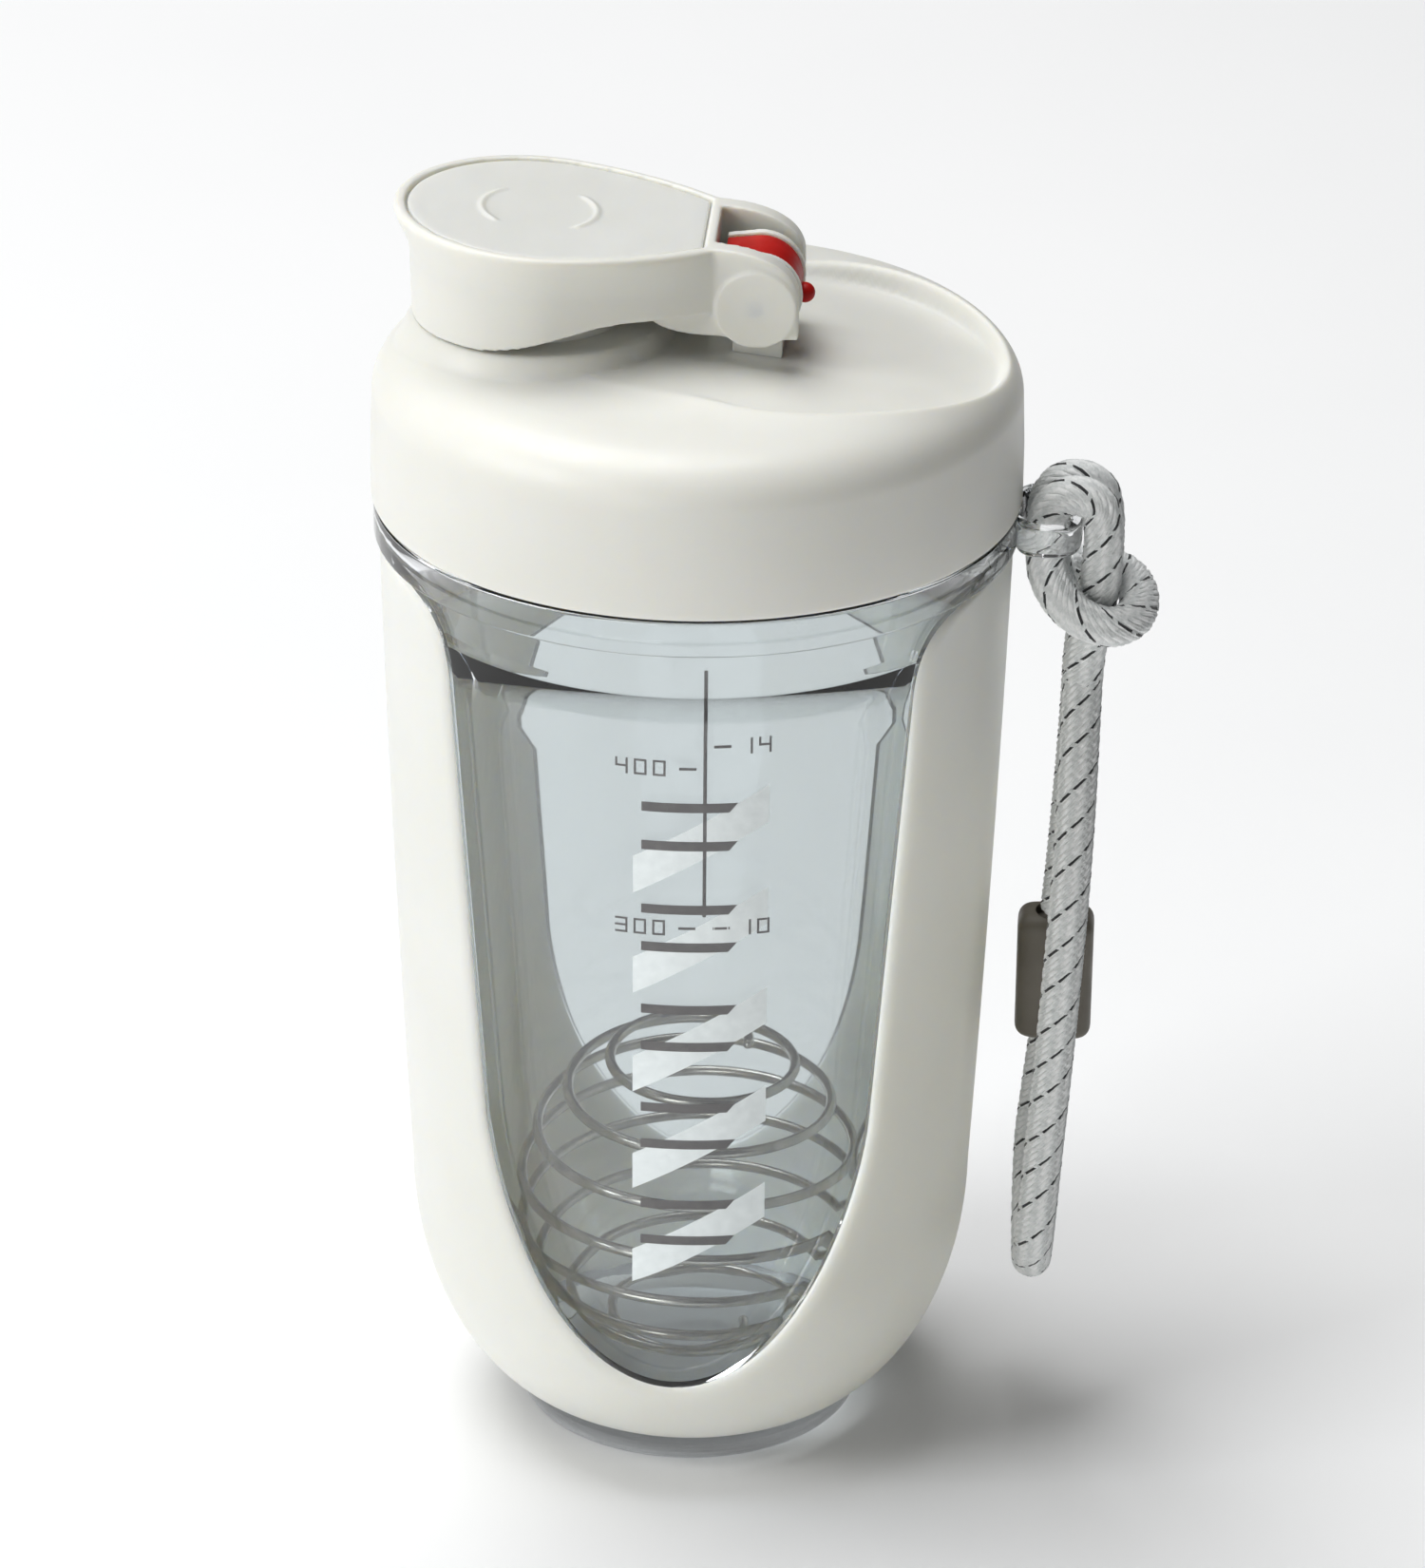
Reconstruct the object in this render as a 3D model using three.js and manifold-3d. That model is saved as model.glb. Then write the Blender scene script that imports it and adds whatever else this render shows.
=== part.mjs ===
// Protein shaker bottle: a clear double-walled cup in a cream side shell, with a
// screw lid, a flip cap over the spout, a wire whisk ball and a rope carry loop.
// Millimetres, +Z up. The origin is the centre of the flat foot, the spout is at -X,
// the cap's hinge and the carry lug are at +X, and the windows face -Y and +Y.

import * as THREE from 'three';
import { mergeVertices } from 'three/addons/utils/BufferGeometryUtils.js';
import Module from 'manifold-3d';

const wasm = await Module();
wasm.setup();

// ---- Driving dimensions ----
const GAP = 0.3; // between pieces that touch
const REACH = 70; // past the whole object, for cuts that go right through
const ROUND = 44; // sides of the large turned pieces
const SMALL_ROUND = 28; // sides of the small turned pieces

const SHELL_WALL = 2;
const JACKET_INSET = SHELL_WALL + GAP; // clear jacket under the cream shell
const JACKET_WALL = 2;
const CUP = { inset: 6.8, floorInset: 4.6, wall: 1.8 }; // insets are from the shell's outside
const CORNER = { r: 18.4, z: 40, across: 24, down: 38 }; // quarter ellipse below the wall
const WALL = { flare: 0.052, hollow: 0.00013 }; // how the radius grows with height above the corner
const WINDOW = { bottom: 19.7, lowHalf: 28.8, lowZ: 62, highHalf: 33.9, highZ: 132, topHalf: 44.5 };

const FOOT = { radius: 26, chamfer: 0.8, floor: 2.6, hollowRadius: 21.5 };
const PANE_INSET = 0.15; // the clear panes stand this far below the shell's outside
const SHELL_TOP = 144;
const COLLAR = { radius: 47.2, chamfer: 1.3, bottom: SHELL_TOP + GAP, top: 149.7 };

const NECK = { outer: 41.2, inner: 38.6, top: 161.5 };
const NECK_BAND = { radius: 43.5, bottom: 137, top: 149.4 };
const THREAD = { pitch: 5, width: 1.7, turns: 1.25, neckRadius: 42.7, lidRadius: 42, neckStart: 151.6 };

const LID = { radius: 47.5, bottom: 150, sideTop: 166, shoulderRadius: 35.2, top: 174.5 };
const DRAFT = 0.3; // how far the lid's side leans in
const LID_HOLLOW = { radius: 45, sideTop: 164.5, shoulderRadius: 33.5, top: 172.3 };
const FACET = {
  centreX: 16.5, radius: 29, sideAngle: 105, tipHalf: 14, heightAtAxis: 174.3, slope: -0.12, wall: 2.4,
};
const LINER = { radius: 44.3, inner: 43.2, bottom: 151, ceiling: 163.5, thickness: 1.8, chimney: 10.2 };
const GASKET = { inner: 38.9, outer: 40.9 };

const SPOUT_X = -23;
const SPOUT = { outer: 12.6, bore: 8, top: 187.6 };
const PEDESTAL = { root: 168, rootRadius: 22.6, top: 176.9, radius: 18.4 };

const HINGE = { x: 8.8, z: 182.2 };
const PIN_RADIUS = 1.2;
const POST = { front: 4.9, back: 12.7, halfWidth: 5.2, flange: 6.4, core: 4.6, grooveHalf: 3.9 };
const TAB = { inner: 4.9, outer: 6.1, halfWidth: 3.6, nub: 1.4, nubAngle: -10, from: -38 };
const FLAT = { endX: 3.9, drop: 0.6 }; // the flat top of the tab and flanges, towards the cap

const CAP = { radius: 21, endHalf: 10.4, endX: 2.8, topAtEnd: 191.2, topSlope: -0.065 };
const CAP_TAPER = { from: 78, length: 12 }; // where the round end gives way to the curved sides
const CAP_UNDER = { radius: PEDESTAL.radius, height: PEDESTAL.top + GAP, rise: 4.2, from: -31, to: -9 };
const CAP_SEAT = { radius: 19.2, endHalf: 9.4, endX: 1.3, depth: 1.2, clearance: 0.3 };
const CHEEK = { inner: 7.2, bottom: 177.4, back: 14.9, discRadius: 5.8, discHeight: 0.5 };
const CAP_ROOF = 189.3;
const PLUG = { bottom: 183.2, tip: 6.6, radius: 7.3, flange: 10.5 };
const ARM_ROOM = { from: -10, to: 0.2 };
const SWING_RADIUS = 7.6; // clear round the hinge when the cap flips

const WIRE_RADIUS = 0.8;
const BALL = { radius: 26.5, turns: 8, endAngle: 19, z: 34.7 };

const ROPE_RADIUS = 2.9;
const LUG = { root: 44.5, end: 56.4, halfWidth: 9, curve: 6, bottom: 144.5, top: 148.8 };
const SLOT = { x: 51.2, radius: 3.6, straightHalf: 2.7 };
const KEEPER = { x: 54.5, y: 10.6, z: 67.3, width: 11.6, depth: 8.8, height: 20.6, corner: 2.6 };

// ---- Materials ----
const plastic = (color, roughness) => new THREE.MeshStandardMaterial({ color, roughness, metalness: 0 });
const clearPlastic = new THREE.MeshStandardMaterial({
  color: 0xb9c8cf, roughness: 0.08, metalness: 0, transparent: true, opacity: 0.35,
});
const creamPlastic = plastic(0xe8e7df, 0.42);
const linerPlastic = plastic(0xdedcd2, 0.5);
const silicone = plastic(0xd9dcd8, 0.7);
const redPlastic = plastic(0xb3261f, 0.35);
const steel = new THREE.MeshStandardMaterial({ color: 0xb5b1a8, roughness: 0.25, metalness: 1 });
const ropeFibre = plastic(0xc9cfcf, 0.9);
const keeperPlastic = plastic(0x6b6457, 0.55);

// ---- Solids: three.js geometry in, manifold joins and cuts, three.js geometry out ----
function signedVolume(position, index) {
  const [a, b, c] = [new THREE.Vector3(), new THREE.Vector3(), new THREE.Vector3()];
  let sum = 0;
  for (let i = 0; i < index.length; i += 3) {
    a.fromBufferAttribute(position, index[i]);
    b.fromBufferAttribute(position, index[i + 1]);
    c.fromBufferAttribute(position, index[i + 2]);
    sum += a.dot(b.cross(c));
  }
  return sum / 6;
}

function solid(geometry) {
  const bare = geometry.clone();
  bare.deleteAttribute('normal');
  bare.deleteAttribute('uv');
  const merged = mergeVertices(bare, 1e-4);
  const all = merged.index.array;
  const kept = [];
  for (let i = 0; i < all.length; i += 3) {
    const [a, b, c] = [all[i], all[i + 1], all[i + 2]];
    if (a !== b && b !== c && c !== a) kept.push(a, b, c);
  }
  if (signedVolume(merged.attributes.position, kept) < 0) kept.reverse();
  return new wasm.Manifold(new wasm.Mesh({
    numProp: 3,
    vertProperties: new Float32Array(merged.attributes.position.array),
    triVerts: new Uint32Array(kept),
  }));
}

function geometryOf(manifold) {
  const mesh = manifold.getMesh();
  const geometry = new THREE.BufferGeometry();
  geometry.setAttribute('position', new THREE.BufferAttribute(mesh.vertProperties, 3));
  geometry.setIndex(new THREE.BufferAttribute(mesh.triVerts, 1));
  geometry.computeVertexNormals();
  return geometry;
}

function named(name, manifold, material) {
  const mesh = new THREE.Mesh(geometryOf(manifold), material);
  mesh.name = name;
  return mesh;
}

// Turned about the upright line at x: points are [radius, height].
function turned(points, sides = ROUND, x = 0) {
  const profile = points.map(([r, z]) => new THREE.Vector2(r, z));
  const geometry = new THREE.LatheGeometry(profile, sides);
  geometry.rotateX(Math.PI / 2);
  geometry.translate(x, 0, 0);
  return solid(geometry);
}

const disc = (radius, bottom, top, sides = SMALL_ROUND, x = 0) =>
  turned([[0, bottom], [radius, bottom], [radius, top], [0, top]], sides, x);

// A round bar along Y on the hinge's axis.
function crossBar(radius, halfLength, sides) {
  const geometry = new THREE.CylinderGeometry(radius, radius, 2 * halfLength, sides);
  geometry.translate(HINGE.x, 0, HINGE.z);
  return solid(geometry);
}

function box(x0, x1, y0, y1, z0, z1) {
  const geometry = new THREE.BoxGeometry(x1 - x0, y1 - y0, z1 - z0);
  geometry.translate((x0 + x1) / 2, (y0 + y1) / 2, (z0 + z1) / 2);
  return solid(geometry);
}

// A shape drawn in X and Z, pushed along Y from y0 to y1.
function sidePrism(shape, y0, y1, curveSegments = 8) {
  const geometry = new THREE.ExtrudeGeometry(shape, { depth: y1 - y0, bevelEnabled: false, curveSegments });
  geometry.rotateX(Math.PI / 2);
  geometry.translate(0, y1, 0);
  return solid(geometry);
}

// A shape drawn in X and Y, pushed up from z0 to z1.
function topPrism(shape, z0, z1, curveSegments = 12) {
  const geometry = new THREE.ExtrudeGeometry(shape, { depth: z1 - z0, bevelEnabled: false, curveSegments });
  geometry.translate(0, 0, z0);
  return solid(geometry);
}

const polygon = (points) => new THREE.Shape(points.map(([x, y]) => new THREE.Vector2(x, y)));

// Everything above (or, with up = false, below) the line height + slope * x.
function slantedHalf(height, slope, up = true) {
  const far = up ? REACH : -REACH;
  return sidePrism(polygon([
    [-REACH, height - slope * REACH],
    [REACH, height + slope * REACH],
    [REACH, height + far],
    [-REACH, height + far],
  ]), -REACH, REACH);
}

// A tube of round section along a curve, with flat ends.
function tube(curve, radius, steps, sides) {
  const section = new THREE.Shape();
  for (let i = 0; i < sides; i += 1) {
    const angle = (2 * Math.PI * i) / sides;
    const [x, y] = [radius * Math.cos(angle), radius * Math.sin(angle)];
    if (i === 0) section.moveTo(x, y);
    else section.lineTo(x, y);
  }
  return solid(new THREE.ExtrudeGeometry(section, { steps, extrudePath: curve, bevelEnabled: false }));
}

const through = (points) => new THREE.CatmullRomCurve3(points.map((p) => new THREE.Vector3(...p)));

// A helical ridge whose section runs from radius a to radius b, with flat ends.
function ridge(a, b, startHeight) {
  const { pitch, width, turns } = THREAD;
  const steps = Math.round(turns * 30);
  const tip = width * 0.55;
  const section = [[a, -width / 2], [b, -tip / 2], [b, tip / 2], [a, width / 2]];
  const vertices = [];
  const index = [];
  for (let i = 0; i <= steps; i += 1) {
    const angle = (2 * Math.PI * turns * i) / steps;
    const lift = startHeight + (pitch * angle) / (2 * Math.PI);
    section.forEach(([r, z]) => vertices.push(r * Math.cos(angle), r * Math.sin(angle), lift + z));
  }
  for (let i = 0; i < steps; i += 1) {
    for (let k = 0; k < 4; k += 1) {
      const [p, q] = [4 * i + k, 4 * i + ((k + 1) % 4)];
      index.push(p, q, q + 4, p, q + 4, p + 4);
    }
  }
  const end = 4 * steps;
  index.push(0, 2, 1, 0, 3, 2, end, end + 1, end + 2, end, end + 2, end + 3);
  const geometry = new THREE.BufferGeometry();
  geometry.setAttribute('position', new THREE.Float32BufferAttribute(vertices, 3));
  geometry.setIndex(index);
  return solid(geometry);
}

// ---- Body ----
// Outside radius of the body at height z, moved inwards by inset.
function bodyRadius(z, inset = 0) {
  if (z >= CORNER.z) {
    const rise = z - CORNER.z;
    return CORNER.r + CORNER.across + WALL.flare * rise - WALL.hollow * rise * rise - inset;
  }
  const t = (CORNER.z - z) / (CORNER.down - inset);
  return CORNER.r + (CORNER.across - inset) * Math.sqrt(Math.max(0, 1 - t * t));
}

// Profile points of the body from radius startRadius in the corner up to height top.
function bodyProfile(startRadius, top, inset, floorInset = inset) {
  const [across, down] = [CORNER.across - inset, CORNER.down - floorInset];
  const startAngle = Math.acos((startRadius - CORNER.r) / across);
  const cornerSteps = 5;
  const points = [];
  for (let i = 0; i <= cornerSteps; i += 1) {
    const angle = startAngle * (1 - i / cornerSteps);
    points.push([CORNER.r + across * Math.cos(angle), CORNER.z - down * Math.sin(angle)]);
  }
  [70, 105, top].forEach((z) => points.push([bodyRadius(z, inset), z]));
  return points;
}

// The window's outline in X and Z. It runs on upwards past the collar.
function windowShape(inset) {
  const { bottom, lowHalf, lowZ, highHalf, highZ, topHalf } = WINDOW;
  const [low, high, corner] = [lowHalf - inset, highHalf - inset, topHalf - inset];
  const floor = bottom + inset;
  const shoulder = SHELL_TOP + GAP + inset;
  const above = COLLAR.top + 20;
  const far = LID.radius + 5;
  const outline = new THREE.Shape();
  outline.moveTo(0, floor);
  outline.bezierCurveTo(0.42 * low, floor, 0.88 * low, CORNER.z - 2, low, lowZ);
  outline.lineTo(high, highZ + inset);
  outline.bezierCurveTo(high + 0.6, highZ + 8, high + 3.1, shoulder, corner, shoulder);
  outline.lineTo(far, shoulder);
  outline.lineTo(far, above);
  outline.lineTo(-far, above);
  outline.lineTo(-far, shoulder);
  outline.lineTo(-corner, shoulder);
  outline.bezierCurveTo(-high - 3.1, shoulder, -high - 0.6, highZ + 8, -high, highZ + inset);
  outline.lineTo(-low, lowZ);
  outline.bezierCurveTo(-0.88 * low, CORNER.z - 2, -0.42 * low, floor, 0, floor);
  return outline;
}

function sideShell() {
  const start = FOOT.radius + 0.4;
  const outside = bodyProfile(start, SHELL_TOP, 0);
  const inside = bodyProfile(start, SHELL_TOP, SHELL_WALL);
  const wall = turned([...outside, ...inside.reverse(), outside[0]]);
  return wall.subtract(sidePrism(windowShape(0), -REACH, REACH));
}

// The clear loop that the rope goes through, with a slot wide enough for two strands.
function lug() {
  const { root, end, halfWidth, curve, bottom, top } = LUG;
  const outline = new THREE.Shape();
  outline.moveTo(root, -halfWidth);
  outline.lineTo(end - curve, -halfWidth);
  outline.quadraticCurveTo(end, -halfWidth, end, 0);
  outline.quadraticCurveTo(end, halfWidth, end - curve, halfWidth);
  outline.lineTo(root, halfWidth);
  const slot = new THREE.Shape();
  slot.absarc(SLOT.x, SLOT.straightHalf, SLOT.radius, 0, Math.PI, false);
  slot.absarc(SLOT.x, -SLOT.straightHalf, SLOT.radius, Math.PI, 2 * Math.PI, false);
  return topPrism(outline, bottom, top, 7).subtract(topPrism(slot, bottom - 1, top + 1, 9));
}

function clearJacket() {
  const core = turned([
    [0, 0],
    [FOOT.radius - FOOT.chamfer, 0],
    [FOOT.radius, FOOT.chamfer],
    ...bodyProfile(FOOT.radius, SHELL_TOP - 1, JACKET_INSET),
    [bodyRadius(COLLAR.bottom, JACKET_INSET), COLLAR.bottom],
    [COLLAR.radius - COLLAR.chamfer, COLLAR.bottom],
    [COLLAR.radius, COLLAR.bottom + COLLAR.chamfer],
    [COLLAR.radius, COLLAR.top],
    [0, COLLAR.top],
  ]);
  const paneTop = SHELL_TOP + 3; // inside the collar
  const paneBottom = WINDOW.bottom - 8; // below the window
  const panes = turned([[0, paneBottom], ...bodyProfile(FOOT.radius, paneTop, PANE_INSET), [0, paneTop]])
    .intersect(sidePrism(windowShape(GAP + 0.1), -REACH, REACH));
  const inset = JACKET_INSET + JACKET_WALL;
  const bandRoom = NECK_BAND.radius + GAP;
  const hollow = turned([
    [0, FOOT.floor],
    [FOOT.hollowRadius, FOOT.floor],
    ...bodyProfile(FOOT.hollowRadius + 0.9, NECK_BAND.bottom - 4, inset),
    [bandRoom, NECK_BAND.bottom - GAP],
    [bandRoom, COLLAR.top + 1],
    [0, COLLAR.top + 1],
  ]);
  return core.add(panes).add(lug()).subtract(hollow);
}

function innerCup() {
  const { inset, floorInset, wall } = CUP;
  const floor = CORNER.z - (CORNER.down - floorInset);
  const wallTop = NECK_BAND.bottom - 0.5;
  const outside = [
    [0, floor],
    ...bodyProfile(CORNER.r, wallTop, inset, floorInset),
    [NECK_BAND.radius, NECK_BAND.bottom],
    [NECK_BAND.radius, NECK_BAND.top],
    [NECK.outer, NECK_BAND.top],
    [NECK.outer, NECK.top],
    [0, NECK.top],
  ];
  const inside = [
    [0, floor + wall],
    ...bodyProfile(CORNER.r, wallTop - 8, inset + wall, floorInset + wall),
    [NECK.inner, NECK_BAND.bottom],
    [NECK.inner, NECK.top + 1],
    [0, NECK.top + 1],
  ];
  return turned(outside)
    .subtract(turned(inside))
    .add(ridge(NECK.outer - GAP, THREAD.neckRadius, THREAD.neckStart));
}

// ---- Whisk ball ----
class BallSpiral extends THREE.Curve {
  getPoint(t, target = new THREE.Vector3()) {
    const end = THREE.MathUtils.degToRad(BALL.endAngle);
    const polar = end + (Math.PI - 2 * end) * t;
    const turn = 2 * Math.PI * BALL.turns * t;
    const r = BALL.radius * Math.sin(polar);
    return target.set(r * Math.cos(turn), r * Math.sin(turn), BALL.z + BALL.radius * Math.cos(polar));
  }
}

const whiskBall = () => tube(new BallSpiral(), WIRE_RADIUS, BALL.turns * 16, 6);

// ---- Lid ----
// Profile of a round cover: straight side, elliptical shoulder, flat or domed top.
function coverProfile({ radius, sideTop, shoulderRadius, top }, bottom, steps) {
  const points = [[0, bottom], [radius, bottom], [radius - DRAFT / 3, (bottom + sideTop) / 2]];
  for (let i = 0; i <= steps; i += 1) {
    const angle = (Math.PI / 2) * (i / steps);
    points.push([
      shoulderRadius + (radius - DRAFT - shoulderRadius) * Math.cos(angle),
      sideTop + (top - sideTop) * Math.sin(angle),
    ]);
  }
  points.push([0, top]);
  return points;
}

// The sloping flat behind the spout: a round end joined to the pedestal by straight sides.
function facetCut() {
  const { centreX, radius, sideAngle, tipHalf, heightAtAxis, slope } = FACET;
  const outline = new THREE.Shape();
  const start = THREE.MathUtils.degToRad(sideAngle);
  outline.absarc(centreX, 0, radius, -start, start, false);
  outline.lineTo(SPOUT_X - 5, tipHalf);
  outline.lineTo(SPOUT_X - 5, -tipHalf);
  return topPrism(outline, LID.bottom, LID.top + 20).intersect(slantedHalf(heightAtAxis, slope));
}

// Two flanges with flat tops on a narrow post, and the drum between them.
function hingePost() {
  const { front, back, halfWidth, flange, core, grooveHalf } = POST;
  const top = HINGE.z + flange;
  const flats = polygon([
    [HINGE.x, HINGE.z], [HINGE.x, top], [FLAT.endX, top - FLAT.drop], [FLAT.endX, HINGE.z + 2],
  ]);
  const root = LID.top - 4.5; // inside the lid's wall
  return box(front, back, -halfWidth, halfWidth, root, HINGE.z)
    .add(crossBar(flange, halfWidth, 28))
    .add(sidePrism(flats, -halfWidth, halfWidth))
    .subtract(crossBar(SWING_RADIUS, grooveHalf, 28))
    .add(crossBar(core, grooveHalf + 0.5, 24));
}

function lidShell() {
  const outside = turned(coverProfile(LID, LID.bottom, 5)).subtract(facetCut());
  const hollow = turned(coverProfile(LID_HOLLOW, LID.bottom - 1, 4))
    .intersect(slantedHalf(FACET.heightAtAxis - FACET.wall, FACET.slope, false));
  const { root, rootRadius, top, radius } = PEDESTAL;
  const pedestal = turned([
    [0, root], [rootRadius, root], [radius + 2.6, root + 4], [radius + 0.8, top - 2.1],
    [radius, top], [0, top],
  ], 36, SPOUT_X);
  return outside
    .subtract(hollow)
    .add(pedestal.subtract(disc(rootRadius + 1, LID.bottom, LID_HOLLOW.top, 36, SPOUT_X)))
    .add(disc(SPOUT.outer, LID_HOLLOW.top, SPOUT.top, 32, SPOUT_X))
    .add(hingePost())
    .subtract(disc(SPOUT.bore, LID.bottom, SPOUT.top + 1, SMALL_ROUND, SPOUT_X))
    .subtract(crossBar(PIN_RADIUS + GAP, 20, 16));
}

function lidLiner() {
  const { radius, inner, bottom, ceiling, thickness, chimney } = LINER;
  const cup = turned([
    [0, ceiling], [inner, ceiling], [inner, bottom], [radius, bottom],
    [radius, ceiling + thickness], [0, ceiling + thickness],
  ]);
  const chimneyTop = LID_HOLLOW.top - GAP;
  return cup
    .add(disc(chimney, ceiling + 0.5, chimneyTop, SMALL_ROUND, SPOUT_X))
    .subtract(disc(SPOUT.bore + 0.4, ceiling - 1, chimneyTop + 1, SMALL_ROUND, SPOUT_X))
    .add(ridge(inner + GAP, THREAD.lidRadius, THREAD.neckStart + THREAD.pitch / 2));
}

function lidGasket() {
  const [low, high] = [NECK.top + GAP, LINER.ceiling - GAP];
  const { inner, outer } = GASKET;
  return turned([[inner, low], [outer, low], [outer, high], [inner, high], [inner, low]]);
}

// ---- Flip cap ----
const capTop = (x) => CAP.topAtEnd + CAP.topSlope * (x - CAP.endX);

// Level on the pedestal, then rising smoothly to the underside of the arm.
function capUnder(x) {
  const { height, rise, from, to } = CAP_UNDER;
  return height + rise * THREE.MathUtils.smoothstep(x, from, to);
}

// Points of the cap's outline: a round end about the spout, and sides that curve in to a
// narrower square end.
function teardrop(radius, endHalf, endX) {
  const points = [];
  const start = THREE.MathUtils.degToRad(CAP_TAPER.from);
  const arcSteps = 22;
  for (let i = 0; i <= arcSteps; i += 1) {
    const angle = start + (2 * Math.PI - 2 * start) * (i / arcSteps);
    points.push([SPOUT_X + radius * Math.cos(angle), radius * Math.sin(angle)]);
  }
  const [startX, startY] = points[0];
  const [bendX, bendY] = [CAP_TAPER.length * Math.sin(start), -CAP_TAPER.length * Math.cos(start)];
  const side = new THREE.QuadraticBezierCurve(
    new THREE.Vector2(startX, startY),
    new THREE.Vector2(startX + bendX, startY + bendY),
    new THREE.Vector2(endX, endHalf),
  ).getPoints(5).slice(1);
  points.push(...side.map(({ x, y }) => [x, -y]), ...side.reverse().map(({ x, y }) => [x, y]));
  return points;
}

// A closed solid through outlines of equal length, from the lowest to the highest.
function lofted(levels) {
  const count = levels[0].outline.length;
  const vertices = [];
  const index = [];
  levels.forEach(({ outline, height }) => outline.forEach(([x, y]) => vertices.push(x, y, height(x))));
  for (let k = 0; k + 1 < levels.length; k += 1) {
    for (let i = 0; i < count; i += 1) {
      const [a, b] = [k * count + i, k * count + ((i + 1) % count)];
      index.push(a, b, b + count, a, b + count, a + count);
    }
  }
  const flat = levels[0].outline.map(([x, y]) => new THREE.Vector2(x, y));
  const last = (levels.length - 1) * count;
  THREE.ShapeUtils.triangulateShape(flat, []).forEach(([a, b, c]) => {
    index.push(a, c, b, last + a, last + b, last + c);
  });
  const geometry = new THREE.BufferGeometry();
  geometry.setAttribute('position', new THREE.Float32BufferAttribute(vertices, 3));
  geometry.setIndex(index);
  return solid(geometry);
}

// The side view of the hinge cheeks, from their root under the arm to the rounded end.
function cheekShape() {
  const rootX = -6.5;
  const outline = new THREE.Shape();
  outline.moveTo(rootX, capTop(rootX));
  outline.lineTo(rootX, HINGE.z - 2.3);
  outline.lineTo(rootX + 2, CHEEK.bottom + 1.8);
  outline.lineTo(rootX + 10, CHEEK.bottom + 0.3);
  outline.lineTo(CHEEK.back, CHEEK.bottom);
  outline.lineTo(CHEEK.back, HINGE.z + 1.8);
  outline.quadraticCurveTo(CHEEK.back - 0.6, CAP.topAtEnd - 1.1, CAP.endX, CAP.topAtEnd);
  return outline;
}

function capShell() {
  const { radius, endHalf, endX } = CAP;
  const body = lofted([
    { outline: teardrop(CAP_UNDER.radius, endHalf, endX), height: capUnder },
    { outline: teardrop(radius - 1.3, endHalf, endX), height: (x) => capTop(x) - 4.5 },
    { outline: teardrop(radius, endHalf, endX), height: (x) => capTop(x) - 1.6 },
    { outline: teardrop(radius - 0.2, endHalf - 0.2, endX), height: capTop },
  ]);
  const cheeks = sidePrism(cheekShape(), -endHalf, endHalf, 7)
    .add(crossBar(CHEEK.discRadius, endHalf + CHEEK.discHeight, 28));
  const low = LID.top - 5; // below the whole cap
  const roomRadius = SPOUT.outer + 2.4;
  const spoutRoom = turned(
    [[0, low], [roomRadius, low], [roomRadius + 0.6, CAP_ROOF], [0, CAP_ROOF]], 32, SPOUT_X,
  );
  const armRoom = box(ARM_ROOM.from, ARM_ROOM.to, -CHEEK.inner, CHEEK.inner, low, CAP_ROOF - 1.3);
  const slot = box(endX, 20, -CHEEK.inner, CHEEK.inner, low, CAP.topAtEnd + 8)
    .add(crossBar(SWING_RADIUS, CHEEK.inner, 28));
  const seat = teardrop(CAP_SEAT.radius, CAP_SEAT.endHalf, CAP_SEAT.endX);
  const panelSeat = lofted([
    { outline: seat, height: (x) => capTop(x) - CAP_SEAT.depth },
    { outline: seat, height: (x) => capTop(x) + 2 },
  ]);
  return body
    .add(cheeks)
    .subtract(spoutRoom)
    .subtract(armRoom)
    .subtract(slot)
    .subtract(panelSeat)
    .subtract(crossBar(PIN_RADIUS + GAP, endHalf, 16));
}

function capTopPanel() {
  const { radius, endHalf, endX, depth, clearance } = CAP_SEAT;
  const outline = teardrop(radius - clearance, endHalf - clearance, endX - clearance);
  return lofted([
    { outline, height: (x) => capTop(x) - depth + clearance },
    { outline, height: (x) => capTop(x) - clearance },
  ]);
}

function spoutPlug() {
  const { bottom, tip, radius, flange } = PLUG;
  const [flangeBottom, flangeTop] = [SPOUT.top + GAP, CAP_ROOF - GAP];
  return turned([
    [0, bottom], [tip, bottom], [radius, bottom + 1], [radius, flangeBottom],
    [flange, flangeBottom], [flange, flangeTop], [0, flangeTop],
  ], SMALL_ROUND, SPOUT_X);
}

const hingePin = () => crossBar(PIN_RADIUS, CAP.endHalf - GAP, 12);

// ---- Red lock tab: a band round the hinge with a flat top and a thumb nub ----
function lockTab() {
  const { inner, outer, halfWidth } = TAB;
  const from = THREE.MathUtils.degToRad(TAB.from);
  const band = new THREE.Shape();
  band.absarc(HINGE.x, HINGE.z, outer, from, Math.PI / 2, false);
  band.lineTo(FLAT.endX, HINGE.z + outer - FLAT.drop);
  band.lineTo(FLAT.endX, HINGE.z + inner - FLAT.drop);
  band.absarc(HINGE.x, HINGE.z, inner, Math.PI / 2, from, true);
  const nub = new THREE.SphereGeometry(TAB.nub, 14, 8);
  const angle = THREE.MathUtils.degToRad(TAB.nubAngle);
  const reach = outer + 0.6;
  nub.translate(HINGE.x + reach * Math.cos(angle), 0, HINGE.z + reach * Math.sin(angle));
  return sidePrism(band, -halfWidth, halfWidth, 14)
    .add(solid(nub).subtract(crossBar(inner + 0.4, 10, 28)));
}

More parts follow.
